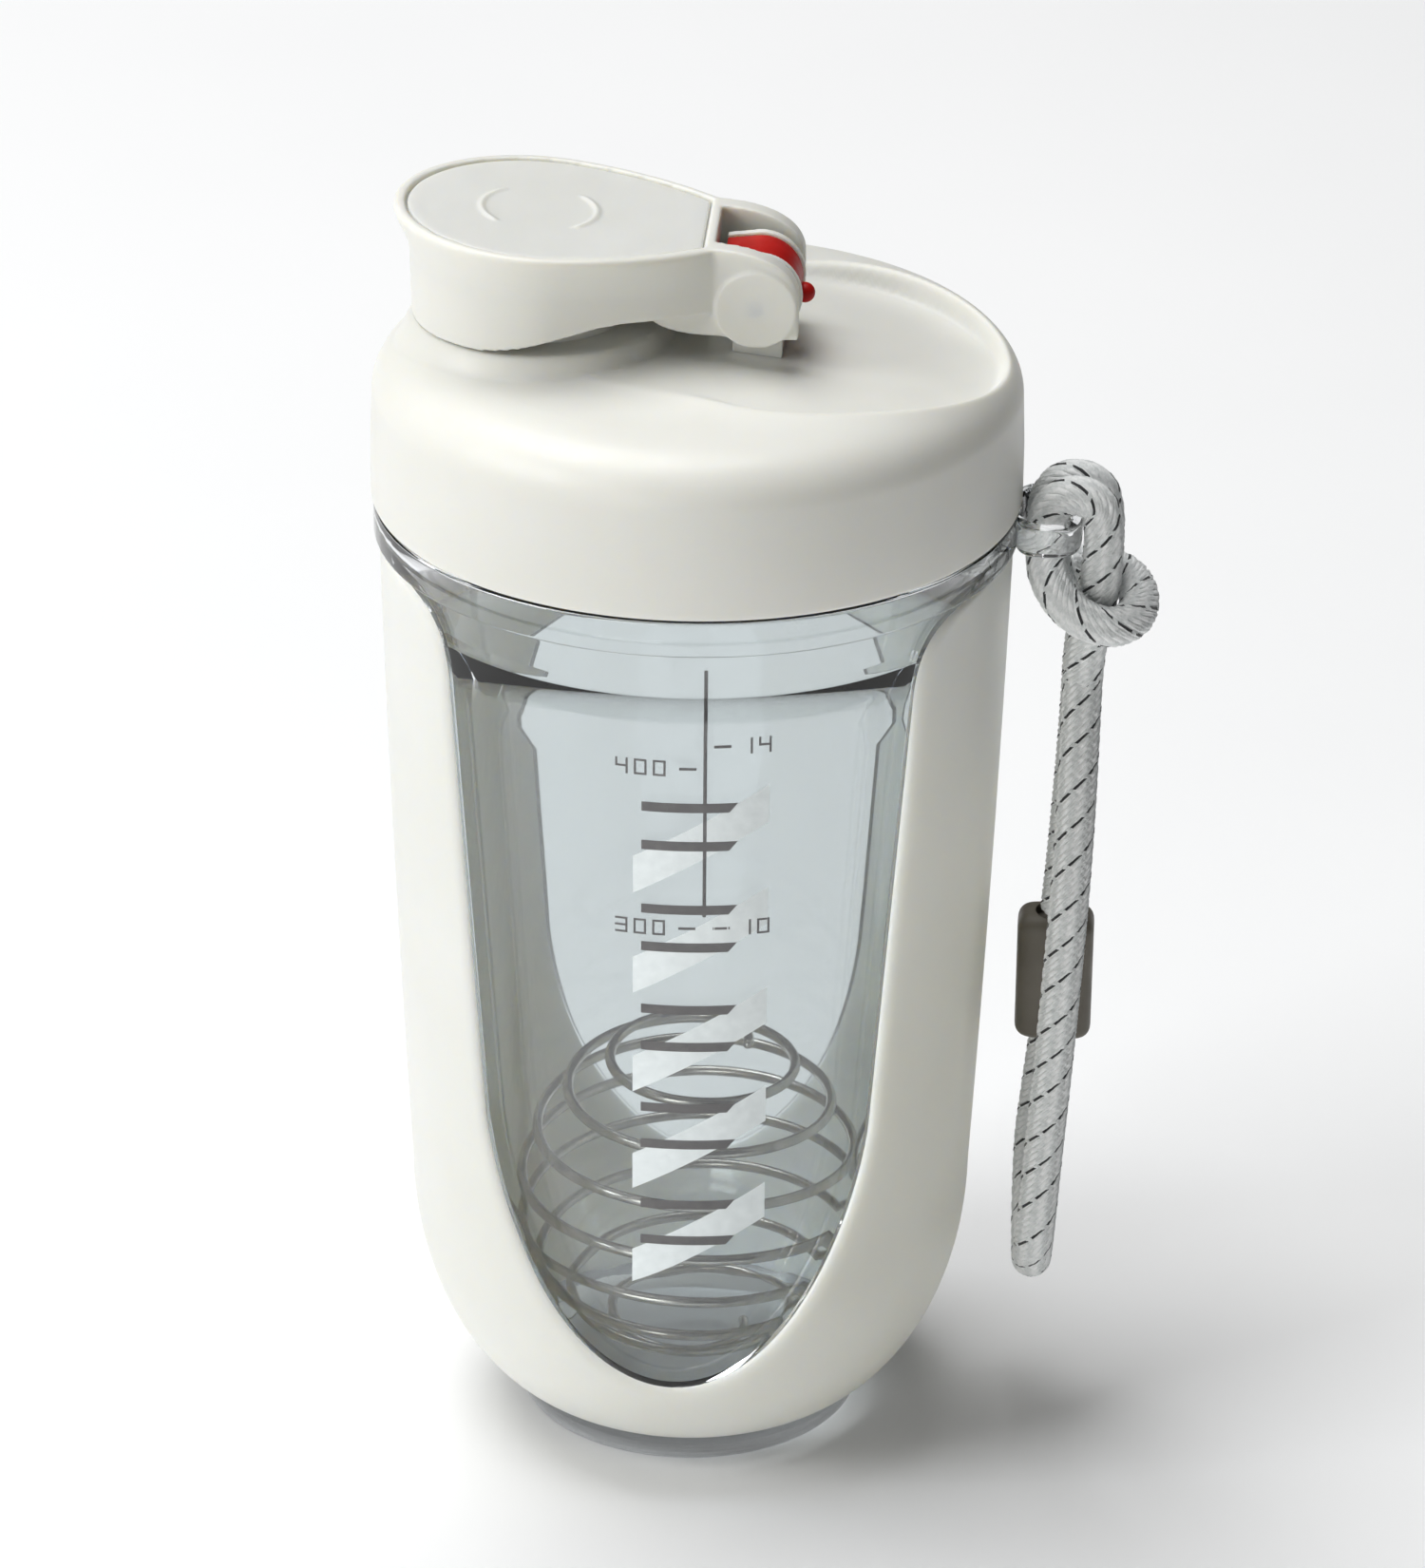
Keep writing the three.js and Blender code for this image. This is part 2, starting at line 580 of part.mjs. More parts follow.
// ---- Carry rope ----
// The loop hangs from the knot in a plane that faces the bottle's side.
const FRONT_STRAND = [
  [57.2, -2.6, 122.8], [57.1, -4.4, 116], [56.9, -7.6, 104], [56.4, -10, 90],
  [55.6, -11.3, 75], [54.7, -11.7, 60], [53.9, -11.7, 48], [53.3, -11.6, 38],
  [52.9, -10.1, 31.2], [52.6, -5.8, 26.3], [52.4, 0, 24.6], [52.2, 5.8, 26.3],
  [52.1, 10.1, 31.2], [52.2, 11.6, 38], [52.9, 11.6, 46], [53.9, 11.2, 56.2],
];
const REAR_STRAND = [
  [55, 10.1, 78.6], [55.5, 9, 86], [56.1, 7.2, 97], [56.6, 5.4, 108], [56.9, 3.9, 117], [57, 3.3, 122.8],
];
// Both strands go up to the lug, over its end and down through its slot. One then wraps
// the standing strands from the front, and the other is tucked in behind them.
const KNOT_FRONT = [
  [57.3, -2.5, 124.3], [57.6, -2.8, 128], [58.2, -3, 132], [59.1, -3, 137],
  [59.5, -3, 142], [59.4, -3, 147.2], [58.4, -3, 150.6], [55.9, -3, 152],
  [53.1, -3, 151.4], [51.3, -3, 148.6], [51.2, -3, 144.4], [51.4, -4.8, 141],
  [53.2, -7, 137.8], [56.6, -8.7, 135.2], [61, -8.5, 133.8], [64.2, -5.2, 133.9],
  [65, -0.4, 134.8], [63.6, 4.6, 135.7], [60.2, 8.2, 136], [56.2, 8.6, 136],
];
const KNOT_REAR = [
  [57, 3.3, 124.2], [57.4, 3.2, 128], [58.2, 3, 132], [59.1, 3, 137],
  [59.5, 3, 142], [59.4, 3, 147.2], [58.4, 3, 150.6], [55.9, 3, 152],
  [53.1, 3, 151.4], [51.3, 3, 148.6], [51.2, 3, 144.4], [51.4, 4.4, 140.2],
  [52.6, 7.4, 135.6], [55.4, 9, 131.4], [59, 8.6, 129.6],
];

function ropeKnot() {
  const strands = [KNOT_FRONT, KNOT_REAR].flatMap((route) => {
    const half = Math.floor(route.length / 2);
    return [route.slice(0, half + 1), route.slice(half)];
  });
  return strands
    .map((points) => tube(through(points), ROPE_RADIUS, 18, 8))
    .reduce((joined, next) => joined.add(next));
}

function keeper() {
  const { x, y, z, width, depth, height, corner } = KEEPER;
  const [a, b] = [width / 2, depth / 2];
  const outline = new THREE.Shape();
  outline.moveTo(-a + corner, -b);
  outline.lineTo(a - corner, -b);
  outline.quadraticCurveTo(a, -b, a, -b + corner);
  outline.lineTo(a, b - corner);
  outline.quadraticCurveTo(a, b, a - corner, b);
  outline.lineTo(-a + corner, b);
  outline.quadraticCurveTo(-a, b, -a, b - corner);
  outline.lineTo(-a, -b + corner);
  outline.quadraticCurveTo(-a, -b, -a + corner, -b);
  return topPrism(outline, z - height / 2, z + height / 2, 4).translate([x, y, 0]);
}

// ---- Assembly ----
const group = new THREE.Group();
const bodyGroup = new THREE.Group();
bodyGroup.add(
  named('clear_jacket', clearJacket(), clearPlastic),
  named('inner_cup', innerCup(), clearPlastic),
  named('side_shell', sideShell(), creamPlastic),
  named('whisk_ball', whiskBall(), steel),
);
const lidGroup = new THREE.Group();
lidGroup.add(
  named('lid_shell', lidShell(), creamPlastic),
  named('lid_liner', lidLiner(), linerPlastic),
  named('lid_gasket', lidGasket(), silicone),
  named('hinge_pin', hingePin(), steel),
  named('lock_tab', lockTab(), redPlastic),
);
const capGroup = new THREE.Group();
capGroup.add(
  named('cap_shell', capShell(), creamPlastic),
  named('cap_top_panel', capTopPanel(), creamPlastic),
  named('spout_plug', spoutPlug(), silicone),
);
lidGroup.add(capGroup);
const ropeGroup = new THREE.Group();
ropeGroup.add(
  named('rope_knot', ropeKnot(), ropeFibre),
  named('rope_front', tube(through(FRONT_STRAND), ROPE_RADIUS, 40, 8), ropeFibre),
  named('rope_rear', tube(through(REAR_STRAND), ROPE_RADIUS, 8, 8), ropeFibre),
  named('rope_keeper', keeper(), keeperPlastic),
);
group.add(bodyGroup, lidGroup, ropeGroup);

export default group;
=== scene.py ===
"""A protein shaker bottle: a clear double-walled cup in a cream side shell, with a screw lid,
a flip cap, a wire whisk ball and a rope carry loop. Shapes are in millimetres until they
become a mesh. The spout is at -X, the carry loop at +X, and the windows face -Y and +Y."""

import math

import bmesh
import bpy
import numpy as np
from mathutils import Matrix, Vector


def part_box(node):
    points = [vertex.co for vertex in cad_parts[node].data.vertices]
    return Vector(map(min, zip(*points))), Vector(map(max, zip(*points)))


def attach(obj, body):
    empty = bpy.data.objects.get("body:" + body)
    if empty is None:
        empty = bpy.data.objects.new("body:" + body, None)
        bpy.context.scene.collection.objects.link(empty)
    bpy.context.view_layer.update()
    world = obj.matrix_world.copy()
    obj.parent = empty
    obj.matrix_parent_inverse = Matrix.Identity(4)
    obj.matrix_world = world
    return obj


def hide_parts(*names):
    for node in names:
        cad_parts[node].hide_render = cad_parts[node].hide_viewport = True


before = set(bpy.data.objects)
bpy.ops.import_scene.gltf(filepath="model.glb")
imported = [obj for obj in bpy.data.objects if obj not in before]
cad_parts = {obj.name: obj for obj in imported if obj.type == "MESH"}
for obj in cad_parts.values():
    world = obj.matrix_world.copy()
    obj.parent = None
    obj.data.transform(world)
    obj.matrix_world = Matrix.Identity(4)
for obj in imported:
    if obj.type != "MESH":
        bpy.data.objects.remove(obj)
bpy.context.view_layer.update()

MM = 0.001


def span(node):
    """A CAD node's lowest and highest corner, in millimetres."""
    low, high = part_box(node)
    return np.array(low) / MM, np.array(high) / MM


# ---- Driving dimensions ----
LID_LOW, LID_HIGH = span("lid_shell")
CAP_LOW = span("cap_shell")[0]
JACKET_LOW, JACKET_HIGH = span("clear_jacket")
NECK_TOP = span("inner_cup")[1][2]
SHELL_TOP = span("side_shell")[1][2]
BALL_LOW, BALL_HIGH = span("whisk_ball")
KEEPER_LOW, KEEPER_HIGH = span("rope_keeper")
PIN_LOW, PIN_HIGH = span("hinge_pin")
PLUG_LOW, PLUG_HIGH = span("spout_plug")
LINER_LOW, LINER_HIGH = span("lid_liner")
GASKET_LOW, GASKET_HIGH = span("lid_gasket")

CORNER_RADIUS = 18.4  # where the flat floor ends and the quarter ellipse below the wall begins
CORNER_TOP = 40
CORNER_ACROSS = 24
CORNER_DOWN = 38
GIRTH_STEP = 31  # millimetres of wall for each radian of the corner
WALL_LEAN = 0.052  # how fast the wall widens above the corner
WALL_BOW = 0.00013  # how fast that widening dies away

SHELL_WALL = 2
LIP = 2.6  # how far the shell's rounded edge reaches from the window
LIP_DEPTH = 1.2
JACKET_INSET = 2.3
HOLLOW_INSET = 4.3
PANE_INSET = 0.15
PANE_GAP = 0.4
PANE_ROUND = 0.45
PANE_SPINE = 14  # how far above its lowest point the pane's middle line starts
PANE_STEPS = 18
CUP_INSET = 6.8
CUP_FLOOR_INSET = 4.6
CUP_WALL = 1.8
CUP_SIDE = 88  # girth at which the wall runs into the neck band
COLLAR_RADIUS = -JACKET_LOW[0]
COLLAR_TOP = JACKET_HIGH[2]
COLLAR_BOTTOM = SHELL_TOP + 0.3
COLLAR_ROOT = 46.6
FOOT_RADIUS = 26
FOOT_FLOOR = 2.6
HOLLOW_FOOT = 22.4  # where the hollow's wall meets its floor
BAND_RADIUS = 43.5
BAND_BOTTOM = 137
BAND_TOP = 149.4
NECK_OUTER = 41.2
NECK_INNER = 38.6

LID_RADIUS = LID_HIGH[1]
LID_EDGE = LID_RADIUS - 0.3
LID_BOTTOM = LID_LOW[2]
LID_SIDE_TOP = 166
LID_TOP = 174.5
SHOULDER_RADIUS = 35.2
FACET_X = 16.5
FACET_RADIUS = 29
FACET_HEIGHT = 174.3
FACET_SLOPE = -0.12
FACET_SIDE = math.radians(105)  # where the round end gives way to the straight sides
FACET_END = 14
FACET_BLEND = 2.6
LID_INNER = 45
CEILING_SIDE = 164.5
CEILING_SHOULDER = 33.5
CEILING_TOP = 172.3
LID_WALL = 2.2
FALL = 0.9  # how much lower the lid's top is outside the flat
FALL_WIDTH = 5
FALL_TO = 36
FALL_FADE = 10

SPOUT_X = (PLUG_LOW[0] + PLUG_HIGH[0]) / 2
SPOUT_OUTER = 12.6
SPOUT_BORE = 8
SPOUT_TOP = 187.6
PEDESTAL_TOP = 176.9
FLARE = 0.9
FLARE_POWER = 1.55

HINGE_X = (PIN_LOW[0] + PIN_HIGH[0]) / 2
HINGE_Z = (PIN_LOW[2] + PIN_HIGH[2]) / 2
PIN_RADIUS = (PIN_HIGH[2] - PIN_LOW[2]) / 2

CAP_RADIUS = SPOUT_X - CAP_LOW[0]
CAP_WAIST = 18.4
CAP_TAPER_FROM = math.radians(78)  # where the round end gives way to the curved sides
CAP_TAPER = 12
CAP_FLARE_DEPTH = 4.4  # how far under its top the cap's flare has mostly gone
CAP_RIM = 0.9
CAP_END_X = 2.8
CAP_END_HALF = 10.4
CAP_END_TOP = 191.2
CAP_TOP_SLOPE = -0.065
CAP_UNDER = 177.2
CAP_UNDER_RISE = 4.2
CAP_UNDER_FROM = -31
CAP_UNDER_TO = -9
CAP_ROOF = 189.3
CAP_HOLLOW = 15.2
CHEEK_INNER = 7.2
CHEEK_BACK = 14.9
CHEEK_CROSS = 5.8
SWING_RADIUS = 7.6  # clear round the hinge when the cap flips
PIN_HOLE = PIN_RADIUS + 0.3

POST_HALF = 5.2
POST_DEEP = 3.6
FLANGE = 6.4
GROOVE_HALF = 3.9
DRUM = 4.6
TAB_OUTER = 6.1
TAB_INNER = 4.9
TAB_HALF = 3.6
FLAT_END = 3.9  # where the flat tops of the tab and flanges end, towards the cap
FLAT_DROP = 0.6

WIRE_RADIUS = 0.8
BALL_TURNS = 8
BALL_END_ANGLE = math.radians(19)

ROPE_RADIUS = 2.9
LUG_END = 56.4
LUG_HALF_WIDTH = 9
LUG_BOTTOM = 144.5
LUG_TOP = 148.8
SLOT_X = 51.2
SLOT_RADIUS = 3.6
SLOT_STRAIGHT = 2.7

THREAD_TURNS = 1.25
CUP_THREAD = 151.6  # where the cup's screw thread starts
LINER_THREAD = 154.1

# The routes of the rope, from the knot down, and up to the keeper, as in the CAD model.
FRONT_STRAND = [
    (57.2, -2.6, 122.8), (57.1, -4.4, 116), (56.9, -7.6, 104), (56.4, -10, 90),
    (55.6, -11.3, 75), (54.7, -11.7, 60), (53.9, -11.7, 48), (53.3, -11.6, 38),
    (52.9, -10.1, 31.2), (52.6, -5.8, 26.3), (52.4, 0, 24.6), (52.2, 5.8, 26.3),
    (52.1, 10.1, 31.2), (52.2, 11.6, 38), (52.9, 11.6, 46), (53.9, 11.2, 56.2),
]
REAR_STRAND = [
    (55, 10.1, 78.6), (55.5, 9, 86), (56.1, 7.2, 97), (56.6, 5.4, 108), (56.9, 3.9, 117),
    (57, 3.3, 122.8),
]
KNOT_FRONT = [
    (57.2, -2.6, 122.8), (57.6, -2.8, 128), (58.2, -3, 132), (59.1, -3, 137),
    (59.5, -3, 142), (59.4, -3, 147.2), (58.4, -3, 150.6), (55.9, -3, 152),
    (53.1, -3, 151.4), (51.3, -3, 148.6), (51.2, -3, 144.4), (51.4, -4.8, 141),
    (53.2, -7, 137.8), (56.6, -8.7, 135.2), (61, -8.5, 133.8), (64.2, -5.2, 133.9),
    (65, -0.4, 134.8), (63.6, 4.6, 135.7), (60.2, 8.2, 136), (56.2, 8.6, 136),
]
KNOT_REAR = [
    (57, 3.3, 122.8), (57.4, 3.2, 128), (58.2, 3, 132), (59.1, 3, 137),
    (59.5, 3, 142), (59.4, 3, 147.2), (58.4, 3, 150.6), (55.9, 3, 152),
    (53.1, 3, 151.4), (51.3, 3, 148.6), (51.2, 3, 144.4), (51.4, 4.4, 140.2),
    (52.6, 7.4, 135.6), (55.4, 9, 131.4), (59, 8.6, 129.6),
]


# ---- Camera ----
CAMERA_AZIMUTH = math.radians(3.5)
CAMERA_ELEVATION = math.radians(26.07)
CAMERA_ROLL = math.radians(0.6)
CAMERA_DISTANCE = 1.0
CAMERA_LENS = 154.0
AIM = Vector((0, 0, 0.1))
AIM_RIGHT = 0.00272
AIM_UP = 0.0016


def place_camera():
    """Looks at the bottle from the front and above, as the object is usually shown."""
    flat = math.cos(CAMERA_ELEVATION)
    back = Vector((
        math.sin(CAMERA_AZIMUTH) * flat,
        -math.cos(CAMERA_AZIMUTH) * flat,
        math.sin(CAMERA_ELEVATION),
    ))
    right = Vector((math.cos(CAMERA_AZIMUTH), math.sin(CAMERA_AZIMUTH), 0))
    up = back.cross(right)
    data = bpy.data.cameras.new("camera")
    data.lens = CAMERA_LENS
    data.clip_start = 0.05
    camera = bpy.data.objects.new("camera", data)
    bpy.context.collection.objects.link(camera)
    turn = Matrix((right, up, back)).transposed() @ Matrix.Rotation(CAMERA_ROLL, 3, "Z")
    place = AIM + right * AIM_RIGHT + up * AIM_UP + back * CAMERA_DISTANCE
    camera.matrix_world = Matrix.Translation(place) @ turn.to_4x4()
    bpy.context.scene.camera = camera


place_camera()


# ---- Materials ----
NOISE_LOW, NOISE_HIGH = 0.3, 0.7  # most of a noise lies between these


class Shader:
    """A node material under construction."""

    def __init__(self, name, roughness, **settings):
        self.material = bpy.data.materials.new(name)
        self.material.use_nodes = True
        self.nodes = self.material.node_tree.nodes
        self.links = self.material.node_tree.links
        self.surface = self.nodes["Principled BSDF"]
        self.output = self.nodes["Material Output"]
        self.surface.inputs["Roughness"].default_value = roughness
        for socket, value in settings.items():
            self.surface.inputs[socket.replace("_", " ")].default_value = value
        self.place = self.nodes.new("ShaderNodeTexCoord").outputs["Object"]

    def noise(self, scale, detail=3.0, stretch=None):
        """Noise in metres, drawn out along an axis where stretch says so."""
        place = self.place
        if stretch is not None:
            mapping = self.nodes.new("ShaderNodeMapping")
            mapping.inputs["Scale"].default_value = stretch
            self.links.new(place, mapping.inputs["Vector"])
            place = mapping.outputs["Vector"]
        noise = self.nodes.new("ShaderNodeTexNoise")
        noise.inputs["Scale"].default_value = scale
        noise.inputs["Detail"].default_value = detail
        self.links.new(place, noise.inputs["Vector"])
        return noise.outputs["Fac"]

    def colour(self, factor, dark, light):
        """Colours the surface between two colours."""
        ramp = self.nodes.new("ShaderNodeValToRGB")
        stops = ((NOISE_LOW, dark), (NOISE_HIGH, light))
        for element, (position, colour) in zip(ramp.color_ramp.elements, stops):
            element.position = position
            element.color = (*colour, 1)
        self.links.new(factor, ramp.inputs["Fac"])
        self.links.new(ramp.outputs["Color"], self.surface.inputs["Base Color"])

    def roughness(self, factor, low, high):
        """Varies the roughness between two values."""
        spread = self.nodes.new("ShaderNodeMapRange")
        spread.inputs["From Min"].default_value = NOISE_LOW
        spread.inputs["From Max"].default_value = NOISE_HIGH
        spread.inputs["To Min"].default_value = low
        spread.inputs["To Max"].default_value = high
        self.links.new(factor, spread.inputs["Value"])
        self.links.new(spread.outputs["Result"], self.surface.inputs["Roughness"])

    def bump(self, factor, depth, strength=1.0):
        """Raises the surface by up to depth, in millimetres, on top of earlier bumps."""
        bump = self.nodes.new("ShaderNodeBump")
        bump.inputs["Strength"].default_value = strength
        bump.inputs["Distance"].default_value = depth * MM
        self.links.new(factor, bump.inputs["Height"])
        normal = self.surface.inputs["Normal"]
        if normal.is_linked:
            self.links.new(normal.links[0].from_socket, bump.inputs["Normal"])
        self.links.new(bump.outputs["Normal"], normal)


def cream_plastic(name, dark, light, depth):
    """Satin moulded plastic with a fine grain and faint flow marks. Light soaks in to depth, in
    millimetres, so thin walls glow a little."""
    shader = Shader(
        name, 0.44, IOR=1.5, Subsurface_Weight=1,
        Subsurface_Radius=(1, 0.9, 0.7), Subsurface_Scale=depth * MM,
    )
    shader.colour(shader.noise(22, 4), dark, light)
    shader.roughness(shader.noise(130, 4), 0.38, 0.5)
    shader.bump(shader.noise(3200, 2), 0.012)
    shader.bump(shader.noise(60, 2, (1, 1, 0.4)), 0.05, 0.6)
    return shader.material


def clear_plastic(name, colour, tint, density):
    """Smoky clear plastic that lets lamp rays through and darkens along its edges."""
    shader = Shader(name, 0.015, IOR=1.5, Transmission_Weight=1, Base_Color=(*colour, 1))
    shader.roughness(shader.noise(90, 3), 0.0, 0.035)
    shader.bump(shader.noise(45, 2, (1, 1, 0.35)), 0.05, 0.5)
    absorb = shader.nodes.new("ShaderNodeVolumeAbsorption")
    absorb.inputs["Color"].default_value = (*tint, 1)
    absorb.inputs["Density"].default_value = density
    shader.links.new(absorb.outputs["Volume"], shader.output.inputs["Volume"])
    lamp = shader.nodes.new("ShaderNodeBsdfTransparent")
    lamp.inputs["Color"].default_value = (0.985, 0.988, 0.985, 1)
    rays = shader.nodes.new("ShaderNodeLightPath")
    mix = shader.nodes.new("ShaderNodeMixShader")
    shader.links.new(rays.outputs["Is Shadow Ray"], mix.inputs[0])
    shader.links.new(shader.surface.outputs["BSDF"], mix.inputs[1])
    shader.links.new(lamp.outputs["BSDF"], mix.inputs[2])
    shader.links.new(mix.outputs["Shader"], shader.output.inputs["Surface"])
    return shader.material


def red_plastic():
    """Satin red plastic with a soft mottle."""
    shader = Shader("red_plastic", 0.42, IOR=1.45, Specular_IOR_Level=0.25)
    shader.colour(shader.noise(160, 3), (0.42, 0.008, 0.006), (0.54, 0.014, 0.011))
    shader.roughness(shader.noise(420, 3), 0.38, 0.5)
    shader.bump(shader.noise(2600, 2), 0.01)
    return shader.material


def silicone():
    """Dull rubbery seal with a powdery sheen."""
    shader = Shader("silicone", 0.6, IOR=1.43, Sheen_Weight=0.25)
    shader.colour(shader.noise(120, 3), (0.62, 0.64, 0.63), (0.7, 0.72, 0.7))
    shader.roughness(shader.noise(500, 3), 0.52, 0.68)
    shader.bump(shader.noise(2200, 3), 0.02)
    return shader.material


def steel_wire():
    """Drawn stainless wire, warm and slightly worn."""
    shader = Shader("steel_wire", 0.22, Metallic=1.0)
    shader.colour(shader.noise(260, 3), (0.46, 0.43, 0.39), (0.66, 0.63, 0.59))
    shader.roughness(shader.noise(600, 3), 0.16, 0.26)
    shader.bump(shader.noise(1500, 3), 0.006)
    return shader.material


def rope_yarn(name, dark, light):
    """Twisted polyester yarn: fine filaments, a little fuzz and a soft sheen."""
    shader = Shader(name, 0.75, IOR=1.45, Sheen_Weight=0.35, Sheen_Roughness=0.5)
    shader.colour(shader.noise(1400, 4), dark, light)
    shader.roughness(shader.noise(2400, 3), 0.62, 0.85)
    shader.bump(shader.noise(5200, 3), 0.09)
    return shader.material


def keeper_plastic():
    """Matt taupe plastic."""
    shader = Shader("keeper_plastic", 0.5, IOR=1.48)
    shader.colour(shader.noise(110, 4), (0.125, 0.112, 0.088), (0.165, 0.15, 0.122))
    shader.roughness(shader.noise(420, 3), 0.42, 0.58)
    shader.bump(shader.noise(2400, 3), 0.02)
    return shader.material


def print_ink(name, dark, light):
    """Screen-printed ink, very slightly uneven."""
    shader = Shader(name, 0.45)
    shader.colour(shader.noise(700, 4), dark, light)
    shader.bump(shader.noise(3000, 2), 0.008)
    return shader.material


def floor_paper():
    """Pale matt studio paper with a faint tooth."""
    shader = Shader(
        "floor_paper", 0.85, Specular_IOR_Level=0.1,
        Emission_Color=(1, 1, 1, 1), Emission_Strength=0.03,
    )
    shader.colour(shader.noise(6, 3), (0.93, 0.935, 0.94), (0.95, 0.955, 0.96))
    shader.bump(shader.noise(900, 2), 0.01)
    return shader.material


CREAM = cream_plastic("cream_plastic", (0.75, 0.75, 0.7), (0.8, 0.8, 0.76), 1.3)
PANEL_CREAM = cream_plastic("panel_cream", (0.77, 0.77, 0.71), (0.82, 0.82, 0.77), 3.5)
# Painted light: the shell's inside face is a lighter, warmer copy of the panel cream, standing in
# for light inside the bottle.
LIT_INSIDE_CREAM = cream_plastic("inside_cream_painted_light", (0.93, 0.915, 0.84), (0.97, 0.955, 0.89), 3.5)
LINER_CREAM = cream_plastic("liner_cream", (0.84, 0.835, 0.79), (0.9, 0.895, 0.85), 1)
JACKET_CLEAR = clear_plastic("jacket_clear", (0.975, 0.98, 0.98), (0.42, 0.58, 0.8), 8)
CUP_CLEAR = clear_plastic("cup_clear", (0.805, 0.838, 0.84), (0.5, 0.62, 0.7), 2)
RED = red_plastic()
SILICONE = silicone()
STEEL = steel_wire()
ROPE_WHITE = rope_yarn("rope_white", (0.82, 0.84, 0.84), (0.97, 0.98, 0.98))
ROPE_GREY = rope_yarn("rope_grey", (0.7, 0.73, 0.73), (0.9, 0.92, 0.92))
ROPE_BLACK = rope_yarn("rope_black", (0.012, 0.014, 0.015), (0.04, 0.042, 0.045))
KEEPER_TAUPE = keeper_plastic()
INK_DARK = print_ink("ink_dark", (0.045, 0.04, 0.04), (0.075, 0.068, 0.066))
INK_PALE = print_ink("ink_pale", (0.72, 0.76, 0.76), (0.8, 0.84, 0.84))


# ---- Mesh tools ----
class Skin:
    """Grids of points gathered into one mesh."""

    def __init__(self):
        self.points = []
        self.faces = []
        self.marks = []
        self.count = 0

    def grid(self, rows, around=False, marks=0):
        """Adds quads over rows of points. With around, the last column joins the first."""
        rows = np.asarray(rows, float)
        height, width = rows.shape[:2]
        index = np.arange(height * width).reshape(height, width) + self.count
        if around:
            index = np.hstack([index, index[:, :1]])
        corners = [index[:-1, :-1], index[:-1, 1:], index[1:, 1:], index[1:, :-1]]
        quads = np.stack(corners, -1).reshape(-1, 4)
        self.points.append(rows.reshape(-1, 3))
        self.faces.append(quads)
        self.marks.append(np.broadcast_to(np.ravel(marks), len(quads)))
        self.count += height * width

    def mesh(self, name, sharp=35):
        """The welded mesh, in metres, smooth except where it bends by more than sharp degrees."""
        mesh = bpy.data.meshes.new(name)
        points = np.vstack(self.points) * MM
        mesh.from_pydata(points.tolist(), [], np.vstack(self.faces).tolist())
        mesh.polygons.foreach_set("material_index", np.concatenate(self.marks).astype(np.int32))
        finish_mesh(mesh, sharp)
        return mesh


def finish_mesh(mesh, sharp):
    """Welds a mesh, turns its faces outwards and marks its sharp edges."""
    work = bmesh.new()
    work.from_mesh(mesh)
    bmesh.ops.remove_doubles(work, verts=work.verts, dist=0.003 * MM)
    bmesh.ops.recalc_face_normals(work, faces=work.faces)
    limit = math.radians(sharp)
    for face in work.faces:
        face.smooth = True
    for edge in work.edges:
        edge.smooth = len(edge.link_faces) != 2 or edge.calc_face_angle() < limit
    work.to_mesh(mesh)
    work.free()


def show(mesh, materials, body, slot, *nodes):
    """Adds a piece named as its mesh. It rides on a body and replaces CAD nodes. The slot
    is not used."""
    piece = bpy.data.objects.new(mesh.name, mesh)
    bpy.context.collection.objects.link(piece)
    for material in materials:
        mesh.materials.append(material)
    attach(piece, body)
    if nodes:
        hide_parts(*nodes)
    return piece


NEARLY_STRAIGHT = 0.01  # radians


def rounded(corners, steps=4):
    """An outline through (x, y, radius) corners, with each corner turned into an arc."""
    points = [np.array(c[:2], float) for c in corners]
    out = [points[0]]
    for before, here, after, corner in zip(points, points[1:], points[2:], corners[1:]):
        to_before = (before - here) / np.linalg.norm(before - here)
        to_after = (after - here) / np.linalg.norm(after - here)
        half = math.acos(float(np.clip(to_before @ to_after, -1, 1))) / 2
        if corner[2] == 0 or half > math.pi / 2 - NEARLY_STRAIGHT:
            out.append(here)
            continue
        reach = corner[2] / math.tan(half)
        middle = to_before + to_after
        centre = here + middle / np.linalg.norm(middle) * corner[2] / math.sin(half)
        start = here + to_before * reach - centre
        end = here + to_after * reach - centre
        sweep = math.pi - 2 * half
        for k in range(steps + 1):
            share = k / steps
            a = math.sin((1 - share) * sweep) / math.sin(sweep)
            b = math.sin(share * sweep) / math.sin(sweep)
            out.append(centre + start * a + end * b)
    out.append(points[-1])
    return np.array(out)


def full_turn(count):
    """Even angles round a full turn."""
    return np.arange(count) * 2 * math.pi / count


def quarter_turn(count):
    """Even angles from nought to a right angle."""
    return np.linspace(0, math.pi / 2, count)


def squared_off(value, power):
    """A sine or cosine raised to a power below one, which squares an ellipse off."""
    return np.sign(value) * np.abs(value) ** power


def upright(radius, angle, height, x=0.0):
    """Points about the upright line at x."""
    radius, angle, height = np.broadcast_arrays(radius, angle, height)
    return np.stack([x + radius * np.cos(angle), radius * np.sin(angle), height], -1)


def turned(profile, sides=160, x=0.0):
    """Rows of points of a (radius, height) profile turned about the upright line at x."""
    radius, height = np.asarray(profile, float).T[:, :, None]
    return upright(radius, full_turn(sides), height, x)


def closed_mesh(name, rows, sharp=35):
    """A mesh of one grid whose last column joins the first."""
    skin = Skin()
    skin.grid(rows, around=True)
    return skin.mesh(name, sharp)


SPLINE_SAMPLES = 24  # between two points of a route


